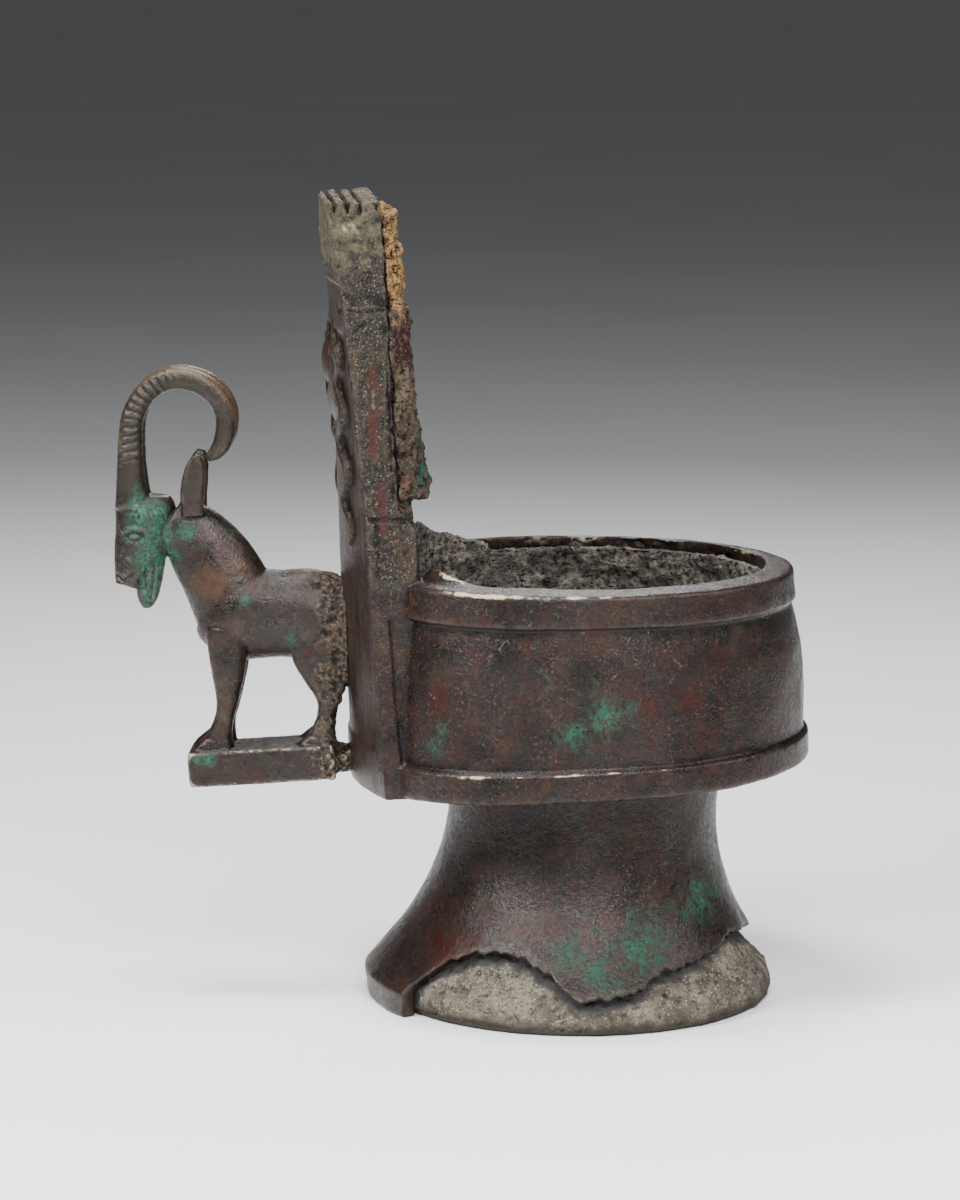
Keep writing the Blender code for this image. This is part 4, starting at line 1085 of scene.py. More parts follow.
def foot_core_shells():
    """The core that fills the foot and stands on the ground."""
    top = FOOT_HEIGHT - FOOT_CEILING - GAP
    outline = [(0, top)] + foot_outline(FOOT_SKIN + GAP, 0, top, CORE_EDGE) + [(0, 0)]
    return [make_object("foot_core", turned(outline, foot_form))]


# Lines cut into the bronze, as places in the world in mm: depth, width, and the line.
CUT_LINES = (
    (-1.0, 0.8, ((-76.0, -40.6, 171.3), (-70.3, -40.8, 170.9), (-62.0, -40.8, 170.2))),
    (-0.6, 0.7, ((-71.3, -41.0, 170.5), (-71.2, -41.0, 164.0), (-70.7, -41.2, 151.0))),
    (-0.8, 0.7, ((-66.8, -42.6, 137.5), (-65.1, -45.8, 111.2), (-63.2, -48.5, 89.5))),
    (-0.8, 0.7, ((-66.8, 42.6, 137.5), (-65.1, 45.8, 111.2), (-63.2, 48.5, 89.5))),
    (-0.8, 0.7, ((-84.0, -30.0, 240.6), (-80.0, -39.0, 240.6), (-72.5, -39.0, 240.2),
                 (-66.0, -39.0, 240.9))),
    (0.5, 0.8, ((-82.0, -38.0, 242.2), (-76.5, -38.5, 242.6), (-70.0, -38.6, 241.8))),
    (-0.5, 0.6, ((-82.5, -37.3, 245.2), (-77.0, -37.5, 244.2), (-73.8, -37.5, 244.9))),
    (-0.5, 0.6, ((-81.4, -38.5, 232.8), (-77.2, -39.1, 233.9), (-75.0, -39.1, 236.0))),
    (-1.1, 1.3, ((-67.5, -37.0, 266.0), (-65.6, -37.0, 269.5), (-65.2, -36.0, 272.5))),
    (-0.7, 0.8, ((-66.5, -40.5, 224.0), (-66.8, -39.5, 205.0), (-66.2, -40.5, 188.0))),
)

# The hollow where the cup's wall meets the panel's side: two heights and how far along the corner
# is at each, in the world in mm, then its depth, its edges and how far out to the side it starts.
CORNER_HEIGHTS = (90.3, 136.9)
CORNER_PLACES = (-63.3, -66.8)
CORNER_DEPTH = 0.5
CORNER_WIDTH = ((0, 0.8), (5, 18))
CORNER_LENGTH = ((89, 91), (134, 137))
CORNER_OUT = 36

# Places in the upper frame, in mm, where the bronze is rough or broken.
CROWN = (171, 176)
CHIPPED_TOP = (190, 194.5)
BACK_EDGE = ((-68, -65.2), (-64.8, -63))
BACK_EDGE_HEIGHT = (88, 96)
SIDE_HEIGHT = (56, 84)
SIDE_LENGTH = ((-84.5, -82), (-62, -58))
TORN_RADIUS = (62.5, 66)
TORN_HEIGHT = (61, 63)
TORN_FAR_SIDE = (5, 20)

# Places in the upper frame, in mm, where the clay lies open behind the panel, in the cup and above it.
BEHIND_PANEL = (-66, -64)
BEHIND_HEIGHT = (94, 99)
LINING_RADIUS = (59.5, 61.5)
LINING_HEIGHT = (8, 12)
LINING_TOP = 72
STANDING_HEIGHT = (64, 68)
STANDING_FRONT = -60

# Heights in the world, in mm: where the foot's clay turns smooth, and where it rests on the ground.
FOOT_CLAY_TOP = (26, 34)
FOOT_CLAY_REST = (0.4, 1.6)


def panel_side(upper, normals):
    """Where the panel's sides are rough above the cup, in the upper frame."""
    side = smooth(0.5, 0.8, np.abs(normals[:, 1])) * smooth(*SIDE_HEIGHT, upper[:, 2])
    return side * between(*SIDE_LENGTH, upper[:, 0])


def torn_rim(points, upper):
    """Where the far rim's inner edge is broken."""
    radius = np.hypot(upper[:, 0], upper[:, 1])
    far = smooth(*TORN_FAR_SIDE, upper[:, 1]) * smooth(*TORN_HEIGHT, upper[:, 2])
    far *= 1 - smooth(*TORN_RADIUS, radius)
    return np.clip(1.6 * lumps(points, (9, 9, 4), 9, far) + 0.5 * far, 0, 1.6)


def corner_groove(points):
    """The shallow hollow along the corner between the cup's wall and the panel's side."""
    behind = points[:, 0] - np.interp(points[:, 2], CORNER_HEIGHTS, CORNER_PLACES)
    groove = between(*CORNER_WIDTH, behind) * between(*CORNER_LENGTH, points[:, 2])
    return CORNER_DEPTH * groove * (np.abs(points[:, 1]) > CORNER_OUT)


def carve_bronze(mesh):
    """Casting waves, the crumbling sides of the panel, cut lines, and the chipped edges."""
    points, upper, normals = places(mesh), places(mesh, UPPER), outwards(mesh, UPPER)
    side = panel_side(upper, normals)
    warped = points + (0, 0, 1) * lumps(points, (9, 30, 9), 3)[:, None]
    amount = lumpy(points, ((0.35, 30, 1), (0.13, 9, 2), (0.035, 2.5, 3)))
    amount += sum(depth * crease(warped, line, width) for depth, width, line in CUT_LINES)
    amount -= corner_groove(points)
    amount += lumpy(points, ((0.30, 1.9, 4), (0.42, 5.5, 5)), side) - 0.25 * side
    amount += 0.4 * lumps(points, 3.2, 6, smooth(*CROWN, upper[:, 2]))
    amount -= 1.2 * np.abs(lumps(points, 4.5, 7, smooth(*CHIPPED_TOP, upper[:, 2])))
    back_edge = between(*BACK_EDGE, upper[:, 0]) * smooth(*BACK_EDGE_HEIGHT, upper[:, 2])
    amount -= 1.8 * np.abs(lumps(points, (5, 5, 8), 8, back_edge))
    amount -= 0.9 * torn_rim(points, upper)
    push(mesh, amount)
    keep_inside(mesh)


def roughen_upper_core(mesh):
    """Crumbling clay: coarse where it bulges behind the panel, finer in the lining."""
    points, upper = places(mesh), places(mesh, UPPER)
    along, height = upper[:, 0], upper[:, 2]
    radius = np.hypot(along, upper[:, 1])
    behind = smooth(*BEHIND_PANEL, along) * smooth(*BEHIND_HEIGHT, height)
    inside = (1 - smooth(*LINING_RADIUS, radius)) * smooth(*LINING_HEIGHT, height) * (height < LINING_TOP)
    standing = smooth(*STANDING_HEIGHT, height) * (1 - behind) * (along > STANDING_FRONT)
    open_clay = np.clip(np.maximum(np.maximum(behind, inside), standing), 0, 1)
    amount = 2.0 * lumps(points, 9, 21, behind)
    amount += lumpy(points, ((1.1, 3.6, 22), (0.5, 1.5, 23)), open_clay)
    amount += 0.9 * lumps(points, (12, 12, 5), 24, inside)
    push(mesh, amount - 0.6 * open_clay)
    keep_inside(mesh)


def roughen_foot_core(mesh):
    """Sandy clay, hollowed a little here and there under the skin's broken edge."""
    points = places(mesh)
    low = 1 - smooth(*FOOT_CLAY_TOP, points[:, 2])
    amount = lumpy(points, ((1.0, 11, 31), (0.55, 3.2, 32), (0.30, 1.3, 33)), low) - 0.5 * low
    push(mesh, amount * smooth(*FOOT_CLAY_REST, points[:, 2]))


# Marks on the surface, in the world in mm: x, y, z and reach, and strength.
GREEN_ON_BRONZE = (
    (2.0, -72, 109, 10, 0.75), (-9, -72, 103, 8, 0.65), (9, -71.6, 112, 6, 0.55),
    (-2, -71.5, 119, 7, 0.45), (-18, -70, 122, 12, 0.35), (-50, -60.6, 104, 6, 0.55),
    (-2, -72, 107, 18, 0.40), (-52, -58, 122, 8, 0.35), (-34, -66, 103, 6, 0.40),
    (-53, -58, 97, 6, 0.6), (16, -56, 26.5, 13, 0.75), (0, -63, 21, 11, 0.70),
    (-9, -59, 26, 12, 0.55), (20, -52, 32, 14, 0.60), (5, -65, 15, 12, 0.65),
    (10, -58, 26, 24, 0.42), (28, -46, 34, 14, 0.40), (30, -38, 62, 14, 0.35),
    (38.4, -34.6, 40.3, 10, 0.75), (45, -23.4, 42.8, 9, 0.65), (34.2, -40.5, 36.5, 9, 0.65),
    (44, -12, 52, 10, 0.55), (-20, 60, 30, 12, 0.70), (40, 45, 28, 12, 0.65),
    (25, 70, 106, 12, 0.70), (66, 30, 112, 9, 0.60), (-84, 12, 118, 8, 0.50),
    (-81, 20, 160, 8, 0.50), (-74, 38, 200, 7, 0.45), (68, -8, 128, 9, 0.55),
    (-82, -30, 262, 9, 0.40), (-78, 10, 255, 12, 0.45),
)
RED_ON_BRONZE = (
    (-51.6, -57.7, 113.2, 7, 0.75), (0, -70, 131.3, 9, 0.6), (16.5, -70.8, 111.3, 8, 0.75),
    (30.2, -67, 113.7, 8, 0.7), (35.4, -65.5, 103.3, 8, 0.65), (41, -60.3, 127.4, 8, 0.65),
    (-47.3, -42.3, 21.2, 15, 0.8), (-50, -33, 25.9, 12, 0.75), (-52.2, -14.2, 35.4, 10, 0.7),
    (-76, -38, 258, 7, 0.75), (-66, -41, 172, 2.5, 0.9), (30, 66, 120, 14, 0.65),
    (60, -5, 118, 12, 0.6), (40, 50, 25, 16, 0.7), (-79, 10, 150, 12, 0.6), (-84, -8, 110, 14, 0.55),
)
RED_RUNS = (
    ((-72.3, -39.5, 221), (-72.2, -39.8, 208), (-72.6, -40.2, 193)),
    ((-69.6, -40.8, 182), (-69.3, -41.0, 167)),
)
CREAM_ON_BRONZE = (
    (-55.1, -36.4, 153.3, 5, 0.35), (-80.5, -37.5, 268, 5, 0.55),
    (-77, -37.5, 265, 5, 0.45),
)
GREEN_ON_IBEX = (
    (-149.6, 0.8, 170.4, 7, 1.0), (-143.5, 1, 167.9, 6.5, 0.95), (-152.1, 1.1, 161.5, 6, 1.0),
    (-147.5, 2.0, 158, 6, 0.9), (-147.6, 5.1, 139.5, 4.5, 0.9), (-152, 5.3, 142, 2.5, 0.6),
    (-134.1, -0.7, 161.6, 4.5, 0.85), (-138, 1.5, 153, 4, 0.75), (-141, 4, 147, 3.5, 0.7),
    (-114.8, -5.9, 138.1, 4, 0.75), (-99.3, -6.5, 125.2, 3.5, 0.7), (-94.2, -8, 127.8, 3, 0.6),
    (-127, -6.7, 84, 4, 0.9), (-131, -6, 84, 3.5, 0.85), (-140, -5, 78, 6, 0.95),
    (-139, 3, 80, 6, 0.8), (-150, 10, 165, 6, 0.8), (-120, 18, 150, 7, 0.75), (-100, 16, 135, 6, 0.7),
    (-118, 1, 161, 3, 0.5), (-126, 14, 100, 5, 0.7), (-126.5, -6.4, 96, 2.5, 0.6),
)
CREAM_ON_IBEX = (
    (-153.6, 2.5, 152, 4.5, 0.45), (-155.3, 4, 147.5, 4, 0.5), (-150, 1, 171, 5, 0.4),
)
WARM_ON_IBEX = (
    (-125.5, -3.3, 145, 10, 0.8), (-118, -5, 150, 9, 0.7), (-119, -6, 130, 7, 0.6),
    (-122, -6, 105, 8, 0.6), (-120, 16, 140, 12, 0.7), (-92, -8, 100, 7, 0.5),
)
PURPLE_ON_IBEX = (
    (-127.4, -1.4, 161.2, 4.5, 0.9), (-124, -3, 155, 4, 0.7), (-154.3, 3.8, 147, 4, 0.6),
)

# Cracks in the bronze, in the world in metres: start, end and width.
CRACKS = (
    ((-0.0395, -0.0618, 0.1345), (-0.0050, -0.0692, 0.1375), 0.00045),
    ((-0.0288, -0.0657, 0.1353), (-0.0368, -0.0647, 0.1265), 0.00035),
    ((-0.0172, -0.0650, 0.1505), (-0.0225, -0.0689, 0.1385), 0.00040),
    ((0.0155, -0.0681, 0.1370), (0.0290, -0.0667, 0.1225), 0.00040),
    ((-0.0555, -0.0540, 0.1160), (-0.0325, -0.0689, 0.0930), 0.00035),
    ((0.0100, -0.0695, 0.1350), (0.0020, -0.0710, 0.1180), 0.00030),
    ((0.0300, 0.0660, 0.1400), (0.0060, 0.0700, 0.1200), 0.00040),
)

# Places in the upper frame, in mm, where the bronze and the clay behind it change colour.
RIM_EDGE = ((66.5, 68), (73, 78))
BAND_EDGE = ((8.6, 9.4), (10.4, 11.4))
WORN_FRONT = (-56, -50)
CRUSTED_TOP = (169, 174)
LIME_HEIGHT = (166, 182)
STREAKED_FACE = (-80, -76)
BROWNED_BACK = (-66, -63)
BROWNED_HEIGHT = (80, 95)

# Places in the ibex's frame, in mm, where the animal changes colour, and where a highlight is painted on
# the horns' outer top.
FACE_BACK = (-142, -138)
FACE_TOP = (97, 102)
FACE_FRONT = (-158, -150)
PLINTH_EDGE_TOP = (14, 17)
HORN_BOTTOM = (101, 106)
EAR_BOTTOM = (98, 102)
EAR_FRONT = (-136, -134)
HORN_OUTER = (18.8, 20.2)
HORN_OUTER_HEIGHT = (114, 124)

# Heights in the world, in mm, at which the clay behind the panel and in the foot changes colour, the
# lowest being where the foot's clay gets painted shade along the ground.
OCHRE_HEIGHT = (226, 248)
RED_HEIGHT = ((214, 224), (230, 242))
TAN_HEIGHT = ((198, 208), (213, 224))
TEAL_HEIGHT = ((172, 182), (200, 206))
GROUND_SHADE_HEIGHT = (2, 6)


def worn_edges(upper, normals, bend):
    """The outer edges of the rim and of the lower band, where they are rubbed pale."""
    rim = between(*RIM_EDGE, upper[:, 2])
    band = between(*BAND_EDGE, upper[:, 2])
    radius = np.hypot(upper[:, 0], upper[:, 1])
    facing_out = (normals[:, :2] * upper[:, :2]).sum(1) / radius
    worn = smooth(0.05, 0.20, bend) * np.maximum(rim, band) * smooth(0.05, 0.3, facing_out)
    return worn * smooth(*WORN_FRONT, upper[:, 0])


def mark_bronze(mesh):
    """Where the bronze is green, red, pale, crusted, streaked or worn bright, and where its creases get
    painted shade.
    """
    points, upper, normals = places(mesh), places(mesh, UPPER), outwards(mesh, UPPER)
    bend = bending(mesh, 3)
    top = smooth(*CRUSTED_TOP, upper[:, 2])
    pale = upper[:, 2] + 5 * lumps(points, 8, 43, top)
    keep_masks(
        mesh,
        green=spots(points, GREEN_ON_BRONZE),
        red=spots(points, RED_ON_BRONZE),
        run=1.1 * crease(points, RED_RUNS[0][:2], 0.8),
        run_edge=0.9 * np.maximum(*[crease(points, line, 2.2) for line in RED_RUNS]),
        crust=np.maximum(panel_side(upper, normals), 0.8 * top),
        lime=0.75 * smooth(*LIME_HEIGHT, pale),
        streaked=smooth(0.5, 0.85, -normals[:, 0]) * (1 - smooth(*STREAKED_FACE, upper[:, 0])),
        cream=np.maximum(worn_edges(upper, normals, bend), spots(points, CREAM_ON_BRONZE)),
        torn=smooth(-0.05, 0.15, bend) * torn_rim(points, upper),
        ridge=smooth(0.03, 0.20, bend),
        # Painted shade: a mask of the creases, where the colour gets darkened.
        crevice=smooth(0.02, 0.16, -bend),
    )


def mark_ibex(mesh):
    """Where the animal is green, crusted, pale or purple, where its horns and ears are dark, where a
    highlight is painted on the horns' outer top, and where its creases get painted shade.
    """
    world, points = places(mesh), places(mesh, IBEX)
    bend = bending(mesh, 3)
    height = points[:, 2]
    face = (1 - smooth(*FACE_BACK, points[:, 0])) * (1 - smooth(*FACE_TOP, height))
    face *= 0.30 + 0.55 * smooth(*FACE_FRONT, points[:, 0])
    plinth_edge = smooth(0.12, 0.4, bend) * (1 - smooth(*PLINTH_EDGE_TOP, height))
    horns = smooth(*HORN_BOTTOM, height) * smooth(0, 2, np.abs(points[:, 1]))
    ears = smooth(*EAR_BOTTOM, height) * smooth(*EAR_FRONT, points[:, 0])
    horn = np.maximum(horns, ears)
    # Painted highlight: the outer top of the horns' curve, made lighter.
    rim = smooth(*HORN_OUTER, from_horn_centre(points)) * smooth(*HORN_OUTER_HEIGHT, height)
    keep_masks(
        mesh,
        green=np.maximum(face, spots(world, GREEN_ON_IBEX)),
        warm=spots(world, WARM_ON_IBEX),
        crust=crusted(points),
        cream=np.maximum(0.9 * plinth_edge, spots(world, CREAM_ON_IBEX)),
        purple=spots(world, PURPLE_ON_IBEX),
        horn=horn,
        horn_rim=horn * rim,
        ridge=smooth(0.04, 0.30, bend),
        # Painted shade: a mask of the creases, where the colour gets darkened.
        crevice=smooth(0.03, 0.22, -bend),
    )


def mark_upper_core(mesh):
    """The clay is ochre high up, then dark, tan and teal behind the panel, and dark in the cup; its
    creases get painted shade.
    """
    points, upper = places(mesh), places(mesh, UPPER)
    ragged = points[:, 2] + 9 * lumps(points, 7, 41)
    outer = smooth(-60, -56, points[:, 0]) * smooth(20, 26, np.abs(points[:, 1]))
    keep_masks(
        mesh,
        behind=smooth(*BROWNED_BACK, upper[:, 0]) * smooth(*BROWNED_HEIGHT, upper[:, 2]),
        ochre=smooth(*OCHRE_HEIGHT, ragged),
        red=between(*RED_HEIGHT, ragged),
        tan=between(*TAN_HEIGHT, ragged),
        teal=0.8 * outer * between(*TEAL_HEIGHT, ragged),
        # Painted shade: a mask of the creases, where the colour gets darkened.
        crevice=smooth(0.05, 0.35, -bending(mesh, 2)),
    )


def mark_foot_core(mesh):
    """The clay is darker along the ground, under the skin and in its creases: painted shade."""
    points = places(mesh)
    ragged = points[:, 2] + 1.5 * lumps(points, 5, 42)
    edge = mix(BREAK_EDGE, np.degrees(np.arctan2(points[:, 1], points[:, 0])))
    keep_masks(
        mesh,
        # Painted shade: a mask of the creases, where the colour gets darkened.
        crevice=smooth(0.05, 0.35, -bending(mesh, 2)),
        # Painted shade: the clay is darker over the lowest few mm along the ground.
        ground=1 - smooth(*GROUND_SHADE_HEIGHT, ragged),
        # Painted shadow: darker clay just under the skin's broken edge, and darker towards +X.
        under_skin=smooth(edge - 8, edge - 2.5, ragged) + 0.5 * smooth(45, 60, points[:, 0]),
    )


MM_PER_METRE = 1000.0


def connect(tree, value, socket):
    """Gives a socket a value, or links it to another socket."""
    if isinstance(value, bpy.types.NodeSocket):
        tree.links.new(value, socket)
    else:
        socket.default_value = value


def node(tree, kind, inputs, **settings):
    """A node with its settings, and its inputs given as values or links."""
    made = tree.nodes.new(kind)
    for name, value in settings.items():
        setattr(made, name, value)
    for name, value in inputs.items():
        connect(tree, value, made.inputs[name])
    return made


def number_step(tree, operation, a, b=0.0):
    """One step of arithmetic on two values or sockets."""
    return node(tree, "ShaderNodeMath", {0: a, 1: b}, operation=operation).outputs[0]


def vector_step(tree, operation, a, b):
    """One step of arithmetic on two vectors."""
    return node(tree, "ShaderNodeVectorMath", {0: a, 1: b}, operation=operation)


def scaled(tree, vector, share):
    """A vector made longer or shorter."""
    inputs = {0: vector, "Scale": share}
    return node(tree, "ShaderNodeVectorMath", inputs, operation="SCALE").outputs[0]


def ramp(tree, value, low, high):
    """Goes from 0 to 1 without a corner between two values."""
    inputs = {"Value": value, "From Min": low, "From Max": high}
    return node(tree, "ShaderNodeMapRange", inputs, interpolation_type="SMOOTHSTEP").outputs[0]


def effect(name, inputs, outputs):
    """A node group with named sockets, ready to be filled."""
    tree = bpy.data.node_groups.new(name, "ShaderNodeTree")
    for socket, value in inputs.items():
        kind = "NodeSocketVector" if isinstance(value, tuple) else "NodeSocketFloat"
        tree.interface.new_socket(socket, in_out="INPUT", socket_type=kind).default_value = value
    for socket in outputs:
        tree.interface.new_socket(socket, in_out="OUTPUT", socket_type="NodeSocketFloat")
    given = tree.nodes.new("NodeGroupInput").outputs
    result = tree.nodes.new("NodeGroupOutput").inputs
    return tree, given, result


def moved(tree, place, seed):
    """A place moved far enough that another seed gives another pattern."""
    offset = number_step(tree, "MULTIPLY", seed, 0.1)
    offset = node(tree, "ShaderNodeCombineXYZ", {0: offset, 1: offset, 2: offset}).outputs[0]
    return vector_step(tree, "ADD", place, offset).outputs[0]


def cloud(tree, place, size, seed, detail=3.0):
    """Soft noise of a size in mm at a place in metres."""
    scale = number_step(tree, "DIVIDE", MM_PER_METRE, size)
    inputs = {"Vector": moved(tree, place, seed), "Scale": scale, "Detail": detail}
    return node(tree, "ShaderNodeTexNoise", {**inputs, "Roughness": 0.62})


def make_blotches():
    """Soft-edged stains of a size in mm, drawn out upwards by the stretch."""
    tree, given, result = effect(
        "blotches", {"Size": 10.0, "Stretch": 1.0, "Seed": 0.0, "From": 0.4, "To": 0.6}, ["Mask"]
    )
    place = tree.nodes.new("ShaderNodeTexCoord").outputs["Object"]
    stretch = node(tree, "ShaderNodeCombineXYZ", {0: 1.0, 1: 1.0, 2: given["Stretch"]}).outputs[0]
    place = vector_step(tree, "DIVIDE", place, stretch).outputs[0]
    noise_value = cloud(tree, place, given["Size"], given["Seed"]).outputs[0]
    tree.links.new(ramp(tree, noise_value, given["From"], given["To"]), result["Mask"])
    return tree


def make_patches():
    """Turns a soft mask into a patch with a wandering, spotty edge."""
    tree, given, result = effect(
        "patches",
        {"Mask": 0.0, "Size": 4.0, "Seed": 0.0, "Spread": 1.2, "From": 0.35, "To": 0.85},
        ["Mask"],
    )
    place = tree.nodes.new("ShaderNodeTexCoord").outputs["Object"]
    wander = cloud(tree, place, given["Size"], given["Seed"], 4.0).outputs[0]
    wander = number_step(tree, "SUBTRACT", wander, 0.5)
    wander = number_step(tree, "MULTIPLY", wander, given["Spread"])
    total = number_step(tree, "ADD", given["Mask"], wander)
    tree.links.new(ramp(tree, total, given["From"], given["To"]), result["Mask"])
    return tree


def make_grains():
    """Scattered round grains of a size in mm, each with a tone of its own."""
    tree, given, result = effect("grains", {"Size": 1.0, "Share": 0.3, "Seed": 0.0}, ["Mask", "Tone"])
    place = tree.nodes.new("ShaderNodeTexCoord").outputs["Object"]
    scale = number_step(tree, "DIVIDE", MM_PER_METRE, given["Size"])
    inputs = {"Vector": moved(tree, place, given["Seed"]), "Scale": scale}
    cells = node(tree, "ShaderNodeTexVoronoi", inputs)
    tones = node(tree, "ShaderNodeSeparateColor", {0: cells.outputs["Color"]}).outputs
    chosen = number_step(tree, "LESS_THAN", tones[0], given["Share"])
    round_shape = ramp(tree, cells.outputs["Distance"], 0.62, 0.30)
    tree.links.new(number_step(tree, "MULTIPLY", chosen, round_shape), result["Mask"])
    tree.links.new(tones[1], result["Tone"])
    return tree


def make_hairline():
    """A fine crack that wanders from a start to an end, with its width and wander in metres."""
    tree, given, result = effect(
        "hairline",
        {"Start": (0.0, 0.0, 0.0), "End": (0.0, 0.0, 0.1), "Width": 0.0004, "Wander": 0.004},
        ["Mask"],
    )
    place = tree.nodes.new("ShaderNodeTexCoord").outputs["Object"]
    drift = cloud(tree, place, 6.0, 3.0).outputs["Color"]
    shift = vector_step(tree, "SUBTRACT", drift, (0.5, 0.5, 0.5)).outputs[0]
    shift = scaled(tree, shift, given["Wander"])
    place = vector_step(tree, "ADD", place, shift).outputs[0]
    from_start = vector_step(tree, "SUBTRACT", place, given["Start"]).outputs[0]
    run = vector_step(tree, "SUBTRACT", given["End"], given["Start"]).outputs[0]
    covered = vector_step(tree, "DOT_PRODUCT", from_start, run).outputs["Value"]
    squared = vector_step(tree, "DOT_PRODUCT", run, run).outputs["Value"]
    share = number_step(tree, "DIVIDE", covered, squared)
    share = node(tree, "ShaderNodeClamp", {0: share}).outputs[0]
    nearest = scaled(tree, run, share)
    apart = vector_step(tree, "DISTANCE", from_start, nearest).outputs["Value"]
    tree.links.new(ramp(tree, apart, given["Width"], 0.0), result["Mask"])
    return tree


BLOTCHES = make_blotches()
PATCHES = make_patches()
GRAINS = make_grains()
HAIRLINE = make_hairline()


# Places of the Mix node's sockets.
NUMBER_A, NUMBER_B = 2, 3
COLOUR_A, COLOUR_B = 6, 7
MIXED_COLOUR = 2


class Finish:
    """A surface built up in layers, each over the last where its mask is 1."""

    def __init__(self, name, colour, roughness, metallic, specular=0.5):
        self.material = bpy.data.materials.new(name)
        self.material.use_nodes = True
        self.tree = self.material.node_tree
        self.shader = self.tree.nodes["Principled BSDF"]
        self.colour = colour
        self.roughness = roughness
        self.metallic = metallic
        self.height = 0.0
        self.shader.inputs["Specular IOR Level"].default_value = specular

    def mask(self, name):
        """A mask that is stored with the piece."""
        return node(self.tree, "ShaderNodeAttribute", {}, attribute_name=name).outputs["Fac"]

    def use(self, shared, output="Mask", **inputs):
        """One of the shared effects with its own values."""
        made = self.tree.nodes.new("ShaderNodeGroup")
        made.node_tree = shared
        for name, value in inputs.items():
            connect(self.tree, value, made.inputs[name])
        return made.outputs[output]

    def stains(self, size, seed, low, high, stretch=1.0):
        """Soft stains of a size in mm, where the noise is above low, and full above high."""
        return self.use(BLOTCHES, Size=size, Stretch=stretch, Seed=seed, From=low, To=high)

    def patch(self, mask, size, seed, spread, low, high):
        """One of the piece's masks as a patch with a spotty edge."""
        mask = self.mask(mask)
        return self.use(PATCHES, Mask=mask, Size=size, Seed=seed, Spread=spread, From=low, To=high)

    def times(self, a, b):
        """Two masks multiplied."""
        return number_step(self.tree, "MULTIPLY", a, b)

    def colours(self, mask, low, high, blend_type="MIX"):
        """A colour that goes from low to high with the mask."""
        made = node(self.tree, "ShaderNodeMix", {0: mask}, data_type="RGBA", blend_type=blend_type)
        for value, socket in ((low, COLOUR_A), (high, COLOUR_B)):
            if isinstance(value, tuple):
                value = (*value, 1.0)
            connect(self.tree, value, made.inputs[socket])
        return made.outputs[MIXED_COLOUR]

    def values(self, mask, low, high):
        """A number that goes from low to high with the mask."""
        inputs = {0: mask, NUMBER_A: low, NUMBER_B: high}
        return node(self.tree, "ShaderNodeMix", inputs, data_type="FLOAT").outputs[0]

    def layer(self, mask, colour=None, roughness=None, metallic=None):
        """Lays a colour, a roughness or a metallic value over the last."""
        if colour is not None:
            self.colour = self.colours(mask, self.colour, colour)
        if roughness is not None:
            self.roughness = self.values(mask, self.roughness, roughness)
        if metallic is not None:
            self.metallic = self.values(mask, self.metallic, metallic)

    def shade(self, mask, share):
        """Darkens or brightens the colour where the mask is 1; here it paints shade into creases."""
        self.colour = self.colours(mask, self.colour, (share, share, share), "MULTIPLY")

    def relief(self, mask, mm):
        """Adds fine height in mm where the mask is 1."""
        inputs = {0: mask, 1: mm, 2: self.height}
        self.height = node(self.tree, "ShaderNodeMath", inputs, operation="MULTIPLY_ADD").outputs[0]

    def done(self):
        """Links the layers to the shader."""
        bump = node(self.tree, "ShaderNodeBump", {"Distance": MM, "Height": self.height})
        values = {
            "Base Color": self.colour,
            "Roughness": self.roughness,
            "Metallic": self.metallic,
            "Normal": bump.outputs[0],
        }
        for name, value in values.items():
            connect(self.tree, value, self.shader.inputs[name])
        return self.material


# Colours that more than one finish uses.
SLATE = (0.0165, 0.0128, 0.0130)
WARM_BROWN = (0.0260, 0.0120, 0.0062)
CUPRITE = (0.0250, 0.0046, 0.0028)
CHARCOAL = (0.0045, 0.0040, 0.0036)
DUST = (0.060, 0.045, 0.030)
GREEN = (0.0030, 0.050, 0.027)
PALE_GREEN = (0.015, 0.110, 0.062)
TAN = (0.085, 0.062, 0.038)
ASH = (0.060, 0.056, 0.048)
SOOT = (0.020, 0.017, 0.014)
EARTH = (0.028, 0.019, 0.012)
# Painted glint: the colour of bright specks that stand in for sparkles of light.
GLINT = (0.21, 0.18, 0.13)

# Colours of the foot, cup and panel.
BROWN = (0.0058, 0.0034, 0.0024)
RUST = (0.0560, 0.0140, 0.0070)
STREAK = (0.030, 0.020, 0.016)
RED_STREAK = (0.032, 0.011, 0.007)
LIME = (0.085, 0.078, 0.045)
RUN_EDGE = (0.034, 0.0075, 0.0042)
RUN = (0.045, 0.080, 0.045)
RUBBED = (0.034, 0.023, 0.017)
CREAM = (0.36, 0.30, 0.20)
TORN_EDGE = (0.180, 0.185, 0.095)
CRACK_FILL = (0.085, 0.068, 0.052)

# Colours of the animal.
HIDE = (0.0075, 0.0044, 0.0028)
OLIVE = (0.0135, 0.0105, 0.0062)
CHEST = (0.048, 0.024, 0.012)
# Painted highlight: the lighter colour along the horns' outer top.
HORN_HIGHLIGHT = (0.070, 0.048, 0.028)
PURPLE = (0.0420, 0.0220, 0.0255)
GOLDEN_CRUST = (0.088, 0.056, 0.028)
RUBBED_HIDE = (0.050, 0.034, 0.024)
PALE_NOSE = (0.20, 0.160, 0.130)

# Colours of the clay in the cup and behind the panel.
BURNT_CLAY = (0.050, 0.045, 0.040)
ASHY_CLAY = (0.150, 0.132, 0.112)
DARK_EARTH = (0.038, 0.029, 0.021)
OCHRE = (0.270, 0.150, 0.052)
TEAL = (0.008, 0.048, 0.038)
BRICK = (0.090, 0.046, 0.028)
BLACK_SPECK = (0.016, 0.014, 0.013)

